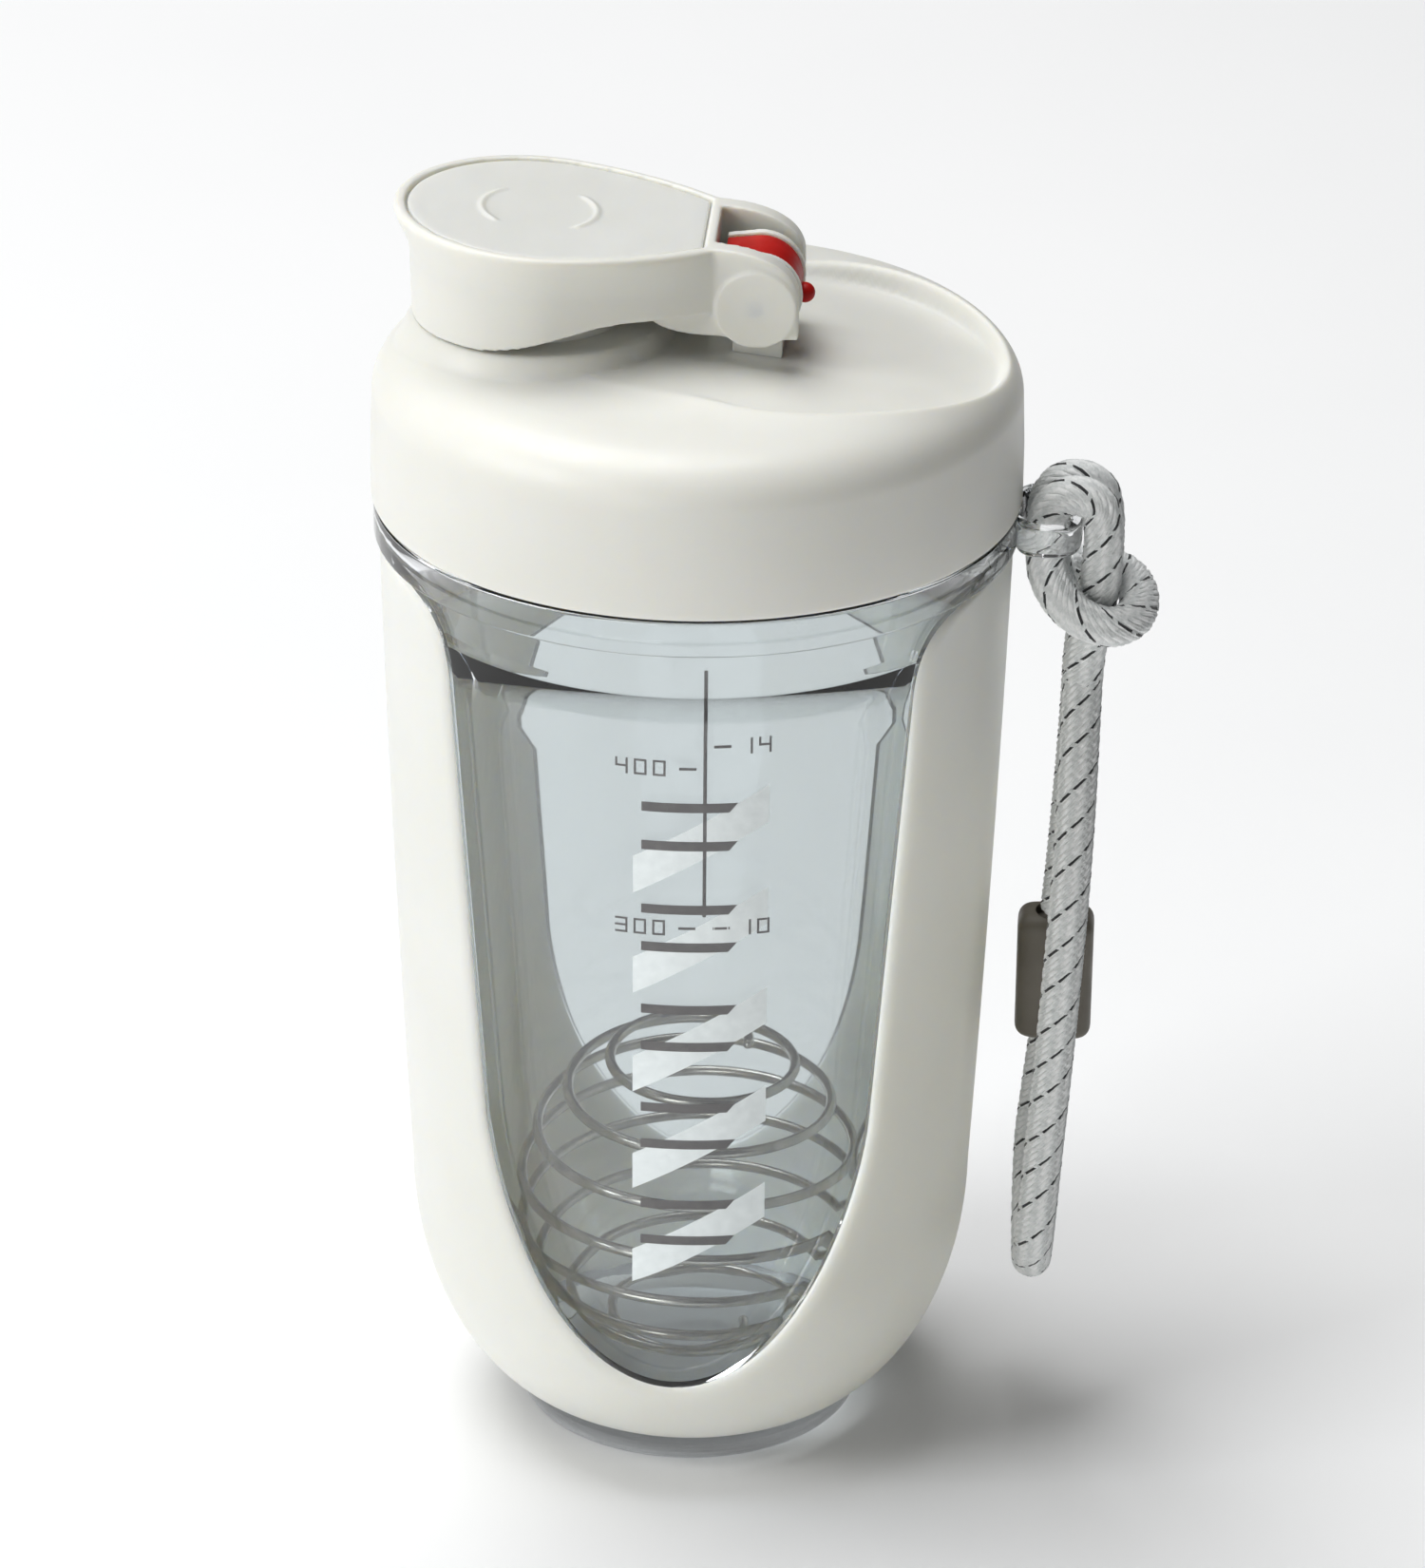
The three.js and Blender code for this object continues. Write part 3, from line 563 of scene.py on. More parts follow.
def spline(points, spacing):
    """Points a set distance apart along a centripetal Catmull-Rom curve."""
    p = np.array(points, float)
    p = np.vstack([2 * p[0] - p[1], p, 2 * p[-1] - p[-2]])
    t = np.linspace(0, 1, SPLINE_SAMPLES, endpoint=False)[:, None]
    runs = []
    for a, b, c, d in zip(p, p[1:], p[2:], p[3:]):
        g0, g1, g2 = [np.linalg.norm(v - u) ** 0.5 for u, v in ((a, b), (b, c), (c, d))]
        start = ((b - a) / g0 - (c - a) / (g0 + g1) + (c - b) / g1) * g1
        end = ((c - b) / g1 - (d - b) / (g1 + g2) + (d - c) / g2) * g1
        bend = 3 * (c - b) - 2 * start - end
        runs.append(b + start * t + bend * t ** 2 + (2 * (b - c) + start + end) * t ** 3)
    dense = np.vstack([*runs, p[-2:-1]])
    return evenly(dense, spacing)


def evenly(points, spacing):
    """The same curve with its points a set distance apart."""
    along = np.concatenate([[0], np.cumsum(np.linalg.norm(np.diff(points, axis=0), axis=1))])
    count = max(2, round(along[-1] / spacing) + 1)
    places = np.linspace(0, along[-1], count)
    return np.stack([np.interp(places, along, axis) for axis in points.T], -1)


def frames_along(path):
    """Directions along a path, and two across it that turn as little as they can."""
    along = np.gradient(path, axis=0)
    along /= np.linalg.norm(along, axis=1)[:, None]
    side = np.cross(along[0], (0.3, 1, 0.2))
    sides = []
    for direction in along:
        side = side - direction * (side @ direction)
        side = side / np.linalg.norm(side)
        sides.append(side)
    sides = np.array(sides)
    return along, sides, np.cross(along, sides)


END_RINGS = 5  # rings of a tube's domed end


def tube_rows(path, radii, blunt=0.45, twist=0.0):
    """Rows of points round a path, with domed ends. radii has a row for each point of the path,
    and each row is turned by twist from the one before."""
    along, side, other = frames_along(path)
    angle = full_turn(radii.shape[1])
    angle = (angle + twist * np.arange(len(path))[:, None])[..., None]
    ring = side[:, None] * np.cos(angle) + other[:, None] * np.sin(angle)
    rows = list(path[:, None] + radii[:, :, None] * ring)
    for turn in quarter_turn(END_RINGS + 1)[1:]:
        for end, at in ((0, 0), (-1, len(rows))):
            outwards = along[end] * (-1 if end == 0 else 1)
            size = radii[end].mean()
            reach = outwards * size * blunt * math.sin(turn)
            row = path[end] + reach + radii[end][:, None] * ring[end] * math.cos(turn)
            rows.insert(at, row)
    return np.array(rows)


# ---- Rope ----
CARRIERS = 16  # yarns wound each way round the braid
BRAID_PITCH = 1.14  # millimetres of rope in which a yarn moves on by one yarn's width
BRAID_RELIEF = 0.42
BRAID_MEAN = 0.75  # the share of the relief that lies under the rope's plain radius
BRAID_DIVE = 0.4  # the share of the relief lost where a yarn dives under the others
BRAID_SIDES = 96
BRAID_STEP = 0.285
TRACERS = (0, 5, 11)  # the yarns with a dark thread, among those wound one way
TRACER_FROM, TRACER_TO = 0.1, 0.75  # the share of such a yarn's width that is dark
TRACER_RUN = 2.9  # crossings over which the dark thread shows, out of each four


def braided(skin, path):
    """Adds a rope of two sets of yarns that pass over two and under two. The mesh's columns
    follow one set, so that its dark threads have clean edges."""
    along = np.arange(len(path))[:, None] * BRAID_STEP
    lay = np.arange(BRAID_SIDES) * CARRIERS / BRAID_SIDES
    first, second = crossing(along, lay)
    top = np.where(on_top(first, second), first, second) % 1
    length = np.where(on_top(first, second), second, first) / 2 % 1
    ride = 1 - BRAID_DIVE + BRAID_DIVE * np.sin(math.pi * length)
    radii = ROPE_RADIUS + BRAID_RELIEF * (np.sqrt(np.sin(math.pi * top)) * ride - BRAID_MEAN)
    half_column = CARRIERS / BRAID_SIDES / 2
    middle, other = crossing(along[:-1] + BRAID_STEP / 2, lay + half_column)
    thread = (middle % 1 > TRACER_FROM) & (middle % 1 < TRACER_TO)
    traced = thread & np.isin(np.floor(middle) % CARRIERS, TRACERS)
    dark = traced & ((np.floor(middle) + other) % 4 < TRACER_RUN)
    yarn = np.where(dark, 1, np.where(on_top(middle, other), 0, 2))
    end = np.zeros((END_RINGS, BRAID_SIDES))
    twist = 2 * math.pi * BRAID_STEP / (BRAID_PITCH * CARRIERS)
    skin.grid(tube_rows(path, radii, twist=twist), around=True, marks=np.vstack([end, yarn, end]))


def crossing(along, lay):
    """Where a place lies among the yarns wound one way, which it follows, and the other."""
    return lay + 0 * along, lay + 2 * along / BRAID_PITCH


def on_top(first, second):
    """Whether the first set of yarns is outside."""
    return (np.floor(first) + np.floor(second)) % 4 < 2


def make_rope():
    """The loop's two strands, their knot, and the keeper on the rear strand."""
    yarns = [ROPE_WHITE, ROPE_BLACK, ROPE_GREY]
    for name, routes, node in (
        ("rope_loop_front", [FRONT_STRAND], "rope_front"),
        ("rope_loop_rear", [REAR_STRAND], "rope_rear"),
        ("rope_loop_knot", [KNOT_FRONT, KNOT_REAR], "rope_knot"),
    ):
        skin = Skin()
        for route in routes:
            braided(skin, spline(route, BRAID_STEP))
        show(skin.mesh(name, sharp=80), yarns, "bottle", "rope_fibre", node)
    keeper = make_keeper()


def make_keeper():
    """A rounded block that grips the rope."""
    centre = (KEEPER_LOW + KEEPER_HIGH) / 2
    half = (KEEPER_HIGH - KEEPER_LOW) / 2
    angle = full_turn(72)
    squareness = 0.42
    wide = squared_off(np.cos(angle), squareness)
    deep = squared_off(np.sin(angle), squareness)
    edge = 2.2
    rows = []
    for turn in quarter_turn(9):
        inward = edge * (1 - math.cos(turn))
        height = half[2] - edge + edge * math.sin(turn)
        rows.append(np.stack([
            wide * (half[0] - inward), deep * (half[1] - inward), 0 * angle + height,
        ], -1))
    hole = upright(ROPE_RADIUS + 0.25, angle, half[2])
    lip_share = 0.35
    lip = rows[-1] * lip_share + hole * (1 - lip_share)
    inner = hole - (0, 0, 1.6)
    top = [*rows, lip, hole, inner, inner * (0, 0, 1)]
    bottom = [row * (1, 1, -1) for row in reversed(top)]
    mesh = closed_mesh("keeper_block", np.array([*bottom, *top]) + centre, 50)
    return show(mesh, [KEEPER_TAUPE], "bottle", "keeper_plastic", "rope_keeper")


make_rope()


# ---- Body of revolution with two windows ----
def meridian(q, inset, floor_inset=None):
    """Radius and height of the body's wall at girth q, moved inwards by inset."""
    floor_inset = inset if floor_inset is None else floor_inset
    q = np.asarray(q, float)
    rise = np.maximum(q, 0)
    wall = CORNER_RADIUS + CORNER_ACROSS + WALL_LEAN * rise - WALL_BOW * rise ** 2 - inset
    turn = np.maximum(-q, 0) / GIRTH_STEP
    corner = CORNER_RADIUS + (CORNER_ACROSS - inset) * np.cos(turn)
    radius = np.where(q >= 0, wall, corner)
    height = CORNER_TOP + np.where(q >= 0, rise, -(CORNER_DOWN - floor_inset) * np.sin(turn))
    return radius, height


def girth(height):
    """The girth at a height on the outside of the wall."""
    turn = np.arcsin(np.clip((CORNER_TOP - height) / CORNER_DOWN, 0, 1))
    return np.where(height >= CORNER_TOP, height - CORNER_TOP, -GIRTH_STEP * turn)


FRONT = -math.pi / 2


def on_wall(angle, q, inset):
    """Points on the wall. The angle is measured from the middle of the front window."""
    radius, height = meridian(q, inset)
    return upright(radius, angle + FRONT, height)


def bezier(a, b, c, d, steps):
    """Points of a cubic curve."""
    t = np.linspace(0, 1, steps)[:, None]
    a, b, c, d = (np.array(p, float) for p in (a, b, c, d))
    return a * (1 - t) ** 3 + 3 * b * t * (1 - t) ** 2 + 3 * c * t ** 2 * (1 - t) + d * t ** 3


EDGE_CORNER = 0.25  # share of the window's edge that faces the foot
EDGE_SHARES = np.concatenate([
    np.linspace(0, EDGE_CORNER, 26), np.linspace(EDGE_CORNER, 1, 90)[1:],
])
FOOT_EDGE = int(np.argmin(np.abs(EDGE_SHARES - EDGE_CORNER))) + 1  # edge points that face the foot
WALL_STEPS = 22  # columns from the window's edge to the far border


def window_edge(top, grow=0.0):
    """Angle and girth along one side of a window's edge, from the bottom middle to the top."""
    low = 19.7 + grow
    side = (28.8 - grow, 62)
    high = (33.9 - grow, 132)
    run = np.vstack([
        bezier((0, low), (12, low), (25.5 - grow, 38), side, 60),
        bezier(side, (30.5 - grow, 85.3), (32.2 - grow, 108.7), high, 30)[1:],
        bezier(high, (34.5 - grow, 140), (37 - grow, top), (44.5 - grow, top), 40)[1:],
    ])
    q = girth(run[:, 1])
    radius, _ = meridian(q, 0)
    angle = np.arcsin(run[:, 0] / radius)
    step = np.hypot(np.diff(run[:, 0]), np.diff(run[:, 1]))
    share = np.concatenate([[0], np.cumsum(step)]) / step.sum()
    return np.interp(EDGE_SHARES, share, angle), np.interp(EDGE_SHARES, share, q)


def far_border(foot_turn, top):
    """Angle and girth of the panel's far border: round the foot, then up the bottle's side."""
    low, high = -GIRTH_STEP * foot_turn, float(girth(np.array(top)))
    rising = np.clip((EDGE_SHARES - EDGE_CORNER) / (1 - EDGE_CORNER), 0, 1)
    angle = np.clip(EDGE_SHARES / EDGE_CORNER, 0, 1) * math.pi / 2
    return angle, low + (high - low) * rising


def across(edge, border, steps):
    """Rows of points from the window's edge towards a border. Each step is a place, in
    millimetres and as a share of the way, and how far under the outside it lies."""
    start = on_wall(*edge, 0)
    length = np.linalg.norm(start - on_wall(*border, 0), axis=1)
    columns = []
    for (distance, share), inset in steps:
        part = np.clip(distance / length, 0, 0.5) * (1 - share) + share
        angle = edge[0] + (border[0] - edge[0]) * part
        q = edge[1] + (border[1] - edge[1]) * part
        columns.append(on_wall(angle, q, inset))
    return np.stack(columns, 1)


def mirrored(skin, rows, marks=0):
    """Adds a quarter's rows four times, mirrored left to right and front to back."""
    for x in (1, -1):
        for y in (1, -1):
            skin.grid(rows * np.array([x, y, 1]), marks=marks)


def level_steps(inset):
    """Even steps from just past the edge to the border, at one depth."""
    return [((LIP, k / WALL_STEPS), inset) for k in range(1, WALL_STEPS + 1)]


def round_steps(radius, depth, inset, count):
    """Steps round an edge: from radius millimetres in, at one inset, out to the edge itself,
    which lies deeper by depth."""
    return [
        ((radius * (1 - math.sin(turn)), 0), inset + depth * (1 - math.cos(turn)))
        for turn in quarter_turn(count)
    ]


def make_side_shell():
    """The cream shell: two side panels joined under the windows, with rounded window edges."""
    foot_turn = math.acos((FOOT_RADIUS + 0.35 - CORNER_RADIUS) / (CORNER_ACROSS - SHELL_WALL))
    edge = window_edge(SHELL_TOP)
    border = far_border(foot_turn, SHELL_TOP)
    inner_round = 0.3
    inner_edge = round_steps(inner_round, -inner_round, SHELL_WALL, 4)
    steps = [
        *reversed(level_steps(0)), *round_steps(LIP, LIP_DEPTH, 0, 10),
        *reversed(inner_edge), *level_steps(SHELL_WALL),
    ]
    rows = across(edge, border, steps)
    skin = Skin()
    # The inside faces take the lighter inside cream: painted light that brightens the inside of
    # the shell.
    painted_light_inner_face = np.zeros((len(rows) - 1, len(steps) - 1))
    painted_light_inner_face[:, -WALL_STEPS - 2:] = 1
    mirrored(skin, rows, painted_light_inner_face)
    half = len(steps) // 2
    mirrored(skin, np.stack([rows[:FOOT_EDGE, 0], rows[:FOOT_EDGE, -1]], 1))
    mirrored(skin, np.stack([rows[-1, :half], rows[-1, ::-1][:half]], 1))
    mesh = skin.mesh("side_panels", sharp=50)
    show(mesh, [PANEL_CREAM, LIT_INSIDE_CREAM], "bottle", "cream_plastic", "side_shell")


def jacket_outline():
    """Grids of one quarter of the jacket's outside: the pane, its edge wall, and the rest."""
    foot_turn = math.acos((FOOT_RADIUS - CORNER_RADIUS) / (CORNER_ACROSS - JACKET_INSET))
    edge = window_edge(COLLAR_BOTTOM, PANE_GAP)
    border = far_border(foot_turn, COLLAR_BOTTOM)
    lowest, highest = edge[1][0], edge[1][-1]
    spine_low = lowest + PANE_SPINE
    spine = (0 * edge[0], spine_low + (highest - spine_low) * EDGE_SHARES)
    pane_edge = round_steps(PANE_ROUND, PANE_ROUND, PANE_INSET, 5)
    flat = [((PANE_ROUND, k / PANE_STEPS), PANE_INSET) for k in range(1, PANE_STEPS + 1)]
    pane = across(edge, spine, [((0, 0), JACKET_INSET), *reversed(pane_edge), *flat])
    rest = across(edge, border, [((0, 0), JACKET_INSET), *level_steps(JACKET_INSET)])
    return pane, rest


def ring_rows(angles, profile):
    """Rows of a quarter turned about Z through the given angles."""
    radius, height = np.array(profile, float).T[:, :, None]
    return upright(radius, angles + FRONT, height)


def make_jacket():
    """The clear outer wall, with raised panes in the windows, a collar and a foot."""
    pane, rest = jacket_outline()
    skin = Skin()
    mirrored(skin, pane)
    mirrored(skin, rest)
    rim = np.vstack([pane[-1, ::-1], rest[-1, 1:]])
    angles = np.arctan2(rim[:, 0], -rim[:, 1])
    hollow_top = BAND_BOTTOM - 4
    seat = BAND_RADIUS + 0.3
    collar = rounded([
        (COLLAR_ROOT, COLLAR_BOTTOM, 0), (COLLAR_RADIUS, COLLAR_BOTTOM, 0.5),
        (COLLAR_RADIUS, COLLAR_TOP, 0.5), (seat, COLLAR_TOP, 0.3), (seat, BAND_BOTTOM, 0.5),
        (meridian(hollow_top - CORNER_TOP, HOLLOW_INSET)[0], hollow_top, 0),
    ])
    turn_end = math.acos((HOLLOW_FOOT - CORNER_RADIUS) / (CORNER_ACROSS - HOLLOW_INSET))
    depths = np.concatenate([
        np.linspace(hollow_top - CORNER_TOP, 0, 20),
        np.linspace(0, -GIRTH_STEP * turn_end, 24)[1:],
    ])
    hollow = np.stack(meridian(depths, HOLLOW_INSET), -1)
    floor = [(radius, FOOT_FLOOR) for radius in (HOLLOW_FOOT - 1.2, 12, 0)]
    inside = ring_rows(angles, [*collar, *hollow[1:], *floor])
    mirrored(skin, np.concatenate([rim[None], inside]))
    foot_rim = rest[:FOOT_EDGE, -1]
    foot_angles = np.arctan2(foot_rim[:, 0], -foot_rim[:, 1])
    sole = rounded([
        (FOOT_RADIUS, foot_rim[0, 2] - 0.5, 0), (FOOT_RADIUS, 0, 0.8), (14, 0, 0), (0, 0, 0),
    ], 5)
    mirrored(skin, np.concatenate([foot_rim[None], ring_rows(foot_angles, sole)]))
    mesh = skin.mesh("jacket_wall", sharp=40)
    show(mesh, [JACKET_CLEAR], "bottle", "clear_plastic", "clear_jacket")


def make_lug():
    """The clear loop that the rope is tied to."""
    angle = full_turn(96)
    root = COLLAR_RADIUS - 0.7
    steep = 40  # makes a step of the sine, so that the slot has straight sides
    along = np.clip(steep * np.sin(angle), -SLOT_STRAIGHT, SLOT_STRAIGHT)
    inner = upright(SLOT_RADIUS, angle, 0, SLOT_X)[:, :2]
    inner[:, 1] += along
    squareness = 0.62
    wide = squared_off(np.cos(angle), squareness)
    tall = squared_off(np.sin(angle), squareness)
    reach = np.maximum(wide, 0) * (LUG_END - SLOT_X) + np.minimum(wide, 0) * (SLOT_X - root)
    outer = np.stack([SLOT_X + reach, LUG_HALF_WIDTH * tall], -1)
    edge = 0.6
    edge_share = 0.12  # of the way from the outline to the slot
    section = [
        (edge_share * (1 - math.sin(turn)), LUG_BOTTOM + edge * (1 - math.cos(turn)))
        for turn in quarter_turn(5)
    ]
    section += [(part, LUG_TOP + LUG_BOTTOM - z) for part, z in reversed(section)]
    section += [(1 - part, z) for part, z in reversed(section)]
    rows = [
        np.column_stack([outer * (1 - part) + inner * part, np.full(len(angle), height)])
        for part, height in [*section, section[0]]
    ]
    mesh = closed_mesh("rope_lug", rows, 50)
    show(mesh, [JACKET_CLEAR], "bottle", "clear_plastic")


RIDGE_SECTION = ((0, -0.5), (0.8, -0.36), (1, -0.2), (1, 0.2), (0.8, 0.36), (0, 0.5))
RIDGE_PITCH = 5
RIDGE_WIDTH = 1.7
RIDGE_FADE = 0.35
RIDGE_SIDES = 120


def helix_ridge(skin, root, crest, start):
    """Adds a screw thread's ridge, which fades in and out at its ends."""
    angle = np.linspace(0, 2 * math.pi * THREAD_TURNS, round(THREAD_TURNS * RIDGE_SIDES))
    fade = np.clip(np.minimum(angle, angle[-1] - angle) / RIDGE_FADE, 0.02, 1) ** 0.5
    lift = start + RIDGE_PITCH * angle / (2 * math.pi)
    rows = np.stack([
        upright(root + (crest - root) * out * fade, angle, lift + RIDGE_WIDTH * up * fade)
        for out, up in RIDGE_SECTION
    ], 1)
    tips = [0 * rows[:1] + rows[end].mean(0) for end in (0, -1)]
    skin.grid(np.concatenate([tips[0], rows, tips[1]]), around=True)


def cup_side(inward):
    """The cup's profile from the floor to where the wall meets the neck band."""
    turns = quarter_turn(26)[::-1]
    heights = np.linspace(0, CUP_SIDE, 22)
    q = np.concatenate([-GIRTH_STEP * turns, heights[1:]])
    return list(zip(*meridian(q, CUP_INSET + inward, CUP_FLOOR_INSET + inward)))


def make_cup():
    """The clear inner cup, with its neck band, neck and screw thread."""
    outer, inner = cup_side(0), cup_side(CUP_WALL)
    outer_neck = rounded([
        (*outer[-1], 0), (BAND_RADIUS, BAND_BOTTOM, 2.6), (BAND_RADIUS, BAND_TOP, 0.5),
        (NECK_OUTER, BAND_TOP, 0.4), (NECK_OUTER, NECK_TOP, 0.6), (NECK_INNER, NECK_TOP, 0.6),
        (NECK_INNER, BAND_BOTTOM, 1.5), (*inner[-1], 0),
    ], 5)
    profile = [
        (0, outer[0][1]), *outer, *outer_neck[1:-1], *reversed(inner), (0, inner[0][1]),
    ]
    skin = Skin()
    skin.grid(turned(profile, 176), around=True)
    helix_ridge(skin, NECK_OUTER - 0.3, NECK_OUTER + 1.5, CUP_THREAD)
    mesh = skin.mesh("cup_wall", sharp=40)
    show(mesh, [CUP_CLEAR], "bottle", "clear_plastic", "inner_cup")


# ---- Print on the cup ----
PRINT_X = 4.0
PRINT_LIFT = 0.03
PRINT_THICK = 0.05


def rectangle(x0, x1, z0, z1):
    """Corners of an upright rectangle, in turn round it."""
    return [(x0, z0), (x1, z0), (x1, z1), (x0, z1)]


def printed(skin, corners, steps, mark=0, over=0.0):
    """Adds a thin four-sided patch of ink. Corners are (across, height), in turn round it."""
    a, b, c, d = (np.array(p, float) for p in corners)
    s = np.linspace(0, 1, steps + 1)[None, :, None]
    t = np.linspace(0, 1, 3)[:, None, None]
    flat = (a * (1 - s) + b * s) * (1 - t) + (d * (1 - s) + c * s) * t

    def lifted(points, lift):
        radius, height = meridian(girth(points[..., 1]), CUP_INSET - lift, CUP_FLOOR_INSET - lift)
        return upright(radius, (points[..., 0] + PRINT_X) / radius + FRONT, height)

    front = lifted(flat, PRINT_LIFT + PRINT_THICK + over)
    back = lifted(flat, PRINT_LIFT + over)
    skin.grid(front, marks=mark)
    skin.grid(back, marks=mark)
    for edge in (np.s_[0], np.s_[-1], np.s_[:, 0], np.s_[:, -1]):
        skin.grid(np.stack([front[edge], back[edge]]), marks=mark)


FIGURE_HEIGHT = 2.5
FIGURE_WIDTH = 1.8
FIGURE_STEP = 2.65
FIGURE_STROKE = 0.32
SEGMENTS = {  # which of the seven bars each figure lights
    "0": "abcdef", "1": "bc", "3": "abcdg", "4": "bcfg",
}


def figures(skin, text, left, bottom):
    """Adds a number in seven-bar figures."""
    top, middle, stroke = bottom + FIGURE_HEIGHT, bottom + FIGURE_HEIGHT / 2, FIGURE_STROKE
    for place, digit in enumerate(text):
        x = left + place * FIGURE_STEP
        end = x + FIGURE_WIDTH
        bars = {
            "a": (x, end, top - stroke, top),
            "b": (end - stroke, end, middle, top),
            "c": (end - stroke, end, bottom, middle),
            "d": (x, end, bottom, bottom + stroke),
            "e": (x, x + stroke, bottom, middle),
            "f": (x, x + stroke, middle, top),
            "g": (x, end, middle - stroke / 2, middle + stroke / 2),
        }
        for key in SEGMENTS[digit]:
            printed(skin, rectangle(*bars[key]), 2)


SCALE_TOP, SCALE_BOTTOM = 140, 100
SCALE_STROKE = 0.5
SCALE_PARTS = 12
TICKS = ((124, -1, "400"), (98.1, -1, "300"), (127.5, 1, "14"), (98.1, 1, "10"))
TICK_FROM, TICK_TO = 1.2, 3.6
TICK_HALF = 0.2


def make_scale():
    """The measuring line, its ticks and numbers."""
    skin = Skin()
    half = SCALE_STROKE / 2
    edges = np.linspace(SCALE_BOTTOM, SCALE_TOP, SCALE_PARTS + 1)
    for z0, z1 in zip(edges, edges[1:]):
        printed(skin, rectangle(-half, half, z0, z1), 2)
    for height, way, text in TICKS:
        x0, x1 = sorted((way * TICK_FROM, way * TICK_TO))
        printed(skin, rectangle(x0, x1, height - TICK_HALF, height + TICK_HALF), 3)
        left = TICK_TO + 1.2 if way > 0 else -TICK_TO - 1 - len(text) * FIGURE_STEP
        figures(skin, text, left, height - FIGURE_HEIGHT / 2)
    mesh = skin.mesh("scale_print", sharp=30)
    show(mesh, [INK_DARK], "bottle", "clear_plastic")


STRIPE_BLOCKS = 5
STRIPE_TOP = 120
STRIPE_PITCH = 16.6
STRIPE_LEFT, STRIPE_RIGHT = -10, 9
STRIPE_DROP = 10.5  # how far under the block's top the stripe starts on the left
STRIPE_RISE = 11.5
STRIPE_THICK = 6
BAR_LEFT, BAR_LOW_RIGHT, BAR_TOP_RIGHT = -8.8, 3.4, 4.6
BAR_THICK = 1.5
BAR_DROPS = (1.5, 7.7)
BAR_OVER = 0.06


def make_stripes():
    """A column of slanted pale stripes with dark bars over them."""
    skin = Skin()
    for k in range(STRIPE_BLOCKS):
        z = STRIPE_TOP - STRIPE_PITCH * k
        left, right = z - STRIPE_DROP, z - STRIPE_DROP + STRIPE_RISE
        printed(skin, [
            (STRIPE_LEFT, left - STRIPE_THICK), (STRIPE_RIGHT, right - STRIPE_THICK),
            (STRIPE_RIGHT, right), (STRIPE_LEFT, left),
        ], 10, 1)
        for drop in BAR_DROPS:
            top = z - drop
            low = top - BAR_THICK
            bar = [(BAR_LEFT, low), (BAR_LOW_RIGHT, low), (BAR_TOP_RIGHT, top), (BAR_LEFT, top)]
            printed(skin, bar, 8, 0, BAR_OVER)
    mesh = skin.mesh("stripe_print", sharp=30)
    show(mesh, [INK_DARK, INK_PALE], "bottle", "clear_plastic")


# ---- Whisk ball ----
def make_whisk():
    """A ball of spring wire: one spiral that widens to the middle and narrows again."""
    radius = (BALL_HIGH[0] - BALL_LOW[0]) / 2 - WIRE_RADIUS
    middle = (BALL_LOW[2] + BALL_HIGH[2]) / 2
    polar = np.linspace(BALL_END_ANGLE, math.pi - BALL_END_ANGLE, 1600)
    turn = np.linspace(0, 2 * math.pi * BALL_TURNS, 1600)
    spiral = upright(radius * np.sin(polar), turn, middle + radius * np.cos(polar))
    path = evenly(spiral, 1.2)
    mesh = closed_mesh("whisk_wire", tube_rows(path, np.full((len(path), 12), WIRE_RADIUS), 1), 80)
    show(mesh, [STEEL], "whisk", "steel_wire", "whisk_ball")


# ---- Lid ----
def smooth_step(value):
    """Nought below 0, one above 1, and smooth between them."""
    t = np.clip(value, 0, 1)
    return t * t * (3 - 2 * t)


def soft_positive(value, softness):
    """The value where it is above nought and nought below, with a rounded bend between."""
    return (value + np.sqrt(value ** 2 + softness)) / 2


def facet_depth(x, y):
    """Distance inside the outline of the sloping flat: a round end with straight sides."""
    in_circle = FACET_RADIUS - np.hypot(x - FACET_X, y)
    start = np.array([
        FACET_X + FACET_RADIUS * math.cos(FACET_SIDE), FACET_RADIUS * math.sin(FACET_SIDE),
    ])
    end = np.array([SPOUT_X - 5, FACET_END])
    run = (end - start) / np.linalg.norm(end - start)
    in_sides = run[1] * (start[0] - x) - run[0] * (start[1] - np.abs(y))
    return np.where(x < start[0], in_sides, in_circle)


def lid_cut(x, y, top):
    """How much lower the sloping flat is than the lid's plain top."""
    deep = soft_positive(top - (FACET_HEIGHT + FACET_SLOPE * x), 0.1)
    return deep * smooth_step(facet_depth(x, y) / FACET_BLEND)


def dome(radius, edge, side_top, shoulder, top):
    """Height of a round cover with an elliptical shoulder."""
    across_shoulder = np.clip((radius - shoulder) / (edge - shoulder), 0, 1)
    return side_top + (top - side_top) * np.sqrt(1 - across_shoulder ** 2)


def lid_outside(x, y):
    """Height of the lid's top, with the flat and the pedestal of the spout."""
    from_axis = np.hypot(x, y)
    plain = dome(from_axis, LID_EDGE, LID_SIDE_TOP, SHOULDER_RADIUS, LID_TOP)
    outside = np.maximum(-facet_depth(x, y), 0)
    near_rim = smooth_step((from_axis - FALL_TO) / FALL_FADE)
    fall = FALL * (1 - np.exp(-outside / FALL_WIDTH)) * (1 - near_rim)
    height = plain - lid_cut(x, y, plain) - fall
    from_pedestal = np.maximum(np.hypot(x - SPOUT_X, y) - CAP_WAIST + 0.4, 0)
    flare = PEDESTAL_TOP - FLARE * from_pedestal ** FLARE_POWER
    return height + soft_positive(flare - height, 0.25)


def eccentric(start_radius, end_radius, share, angle):
    """Circles that grow from the spout's axis to the lid's."""
    centre = SPOUT_X * (1 - share)
    radius = start_radius + (end_radius - start_radius) * share
    return centre + radius * np.cos(angle), radius * np.sin(angle)


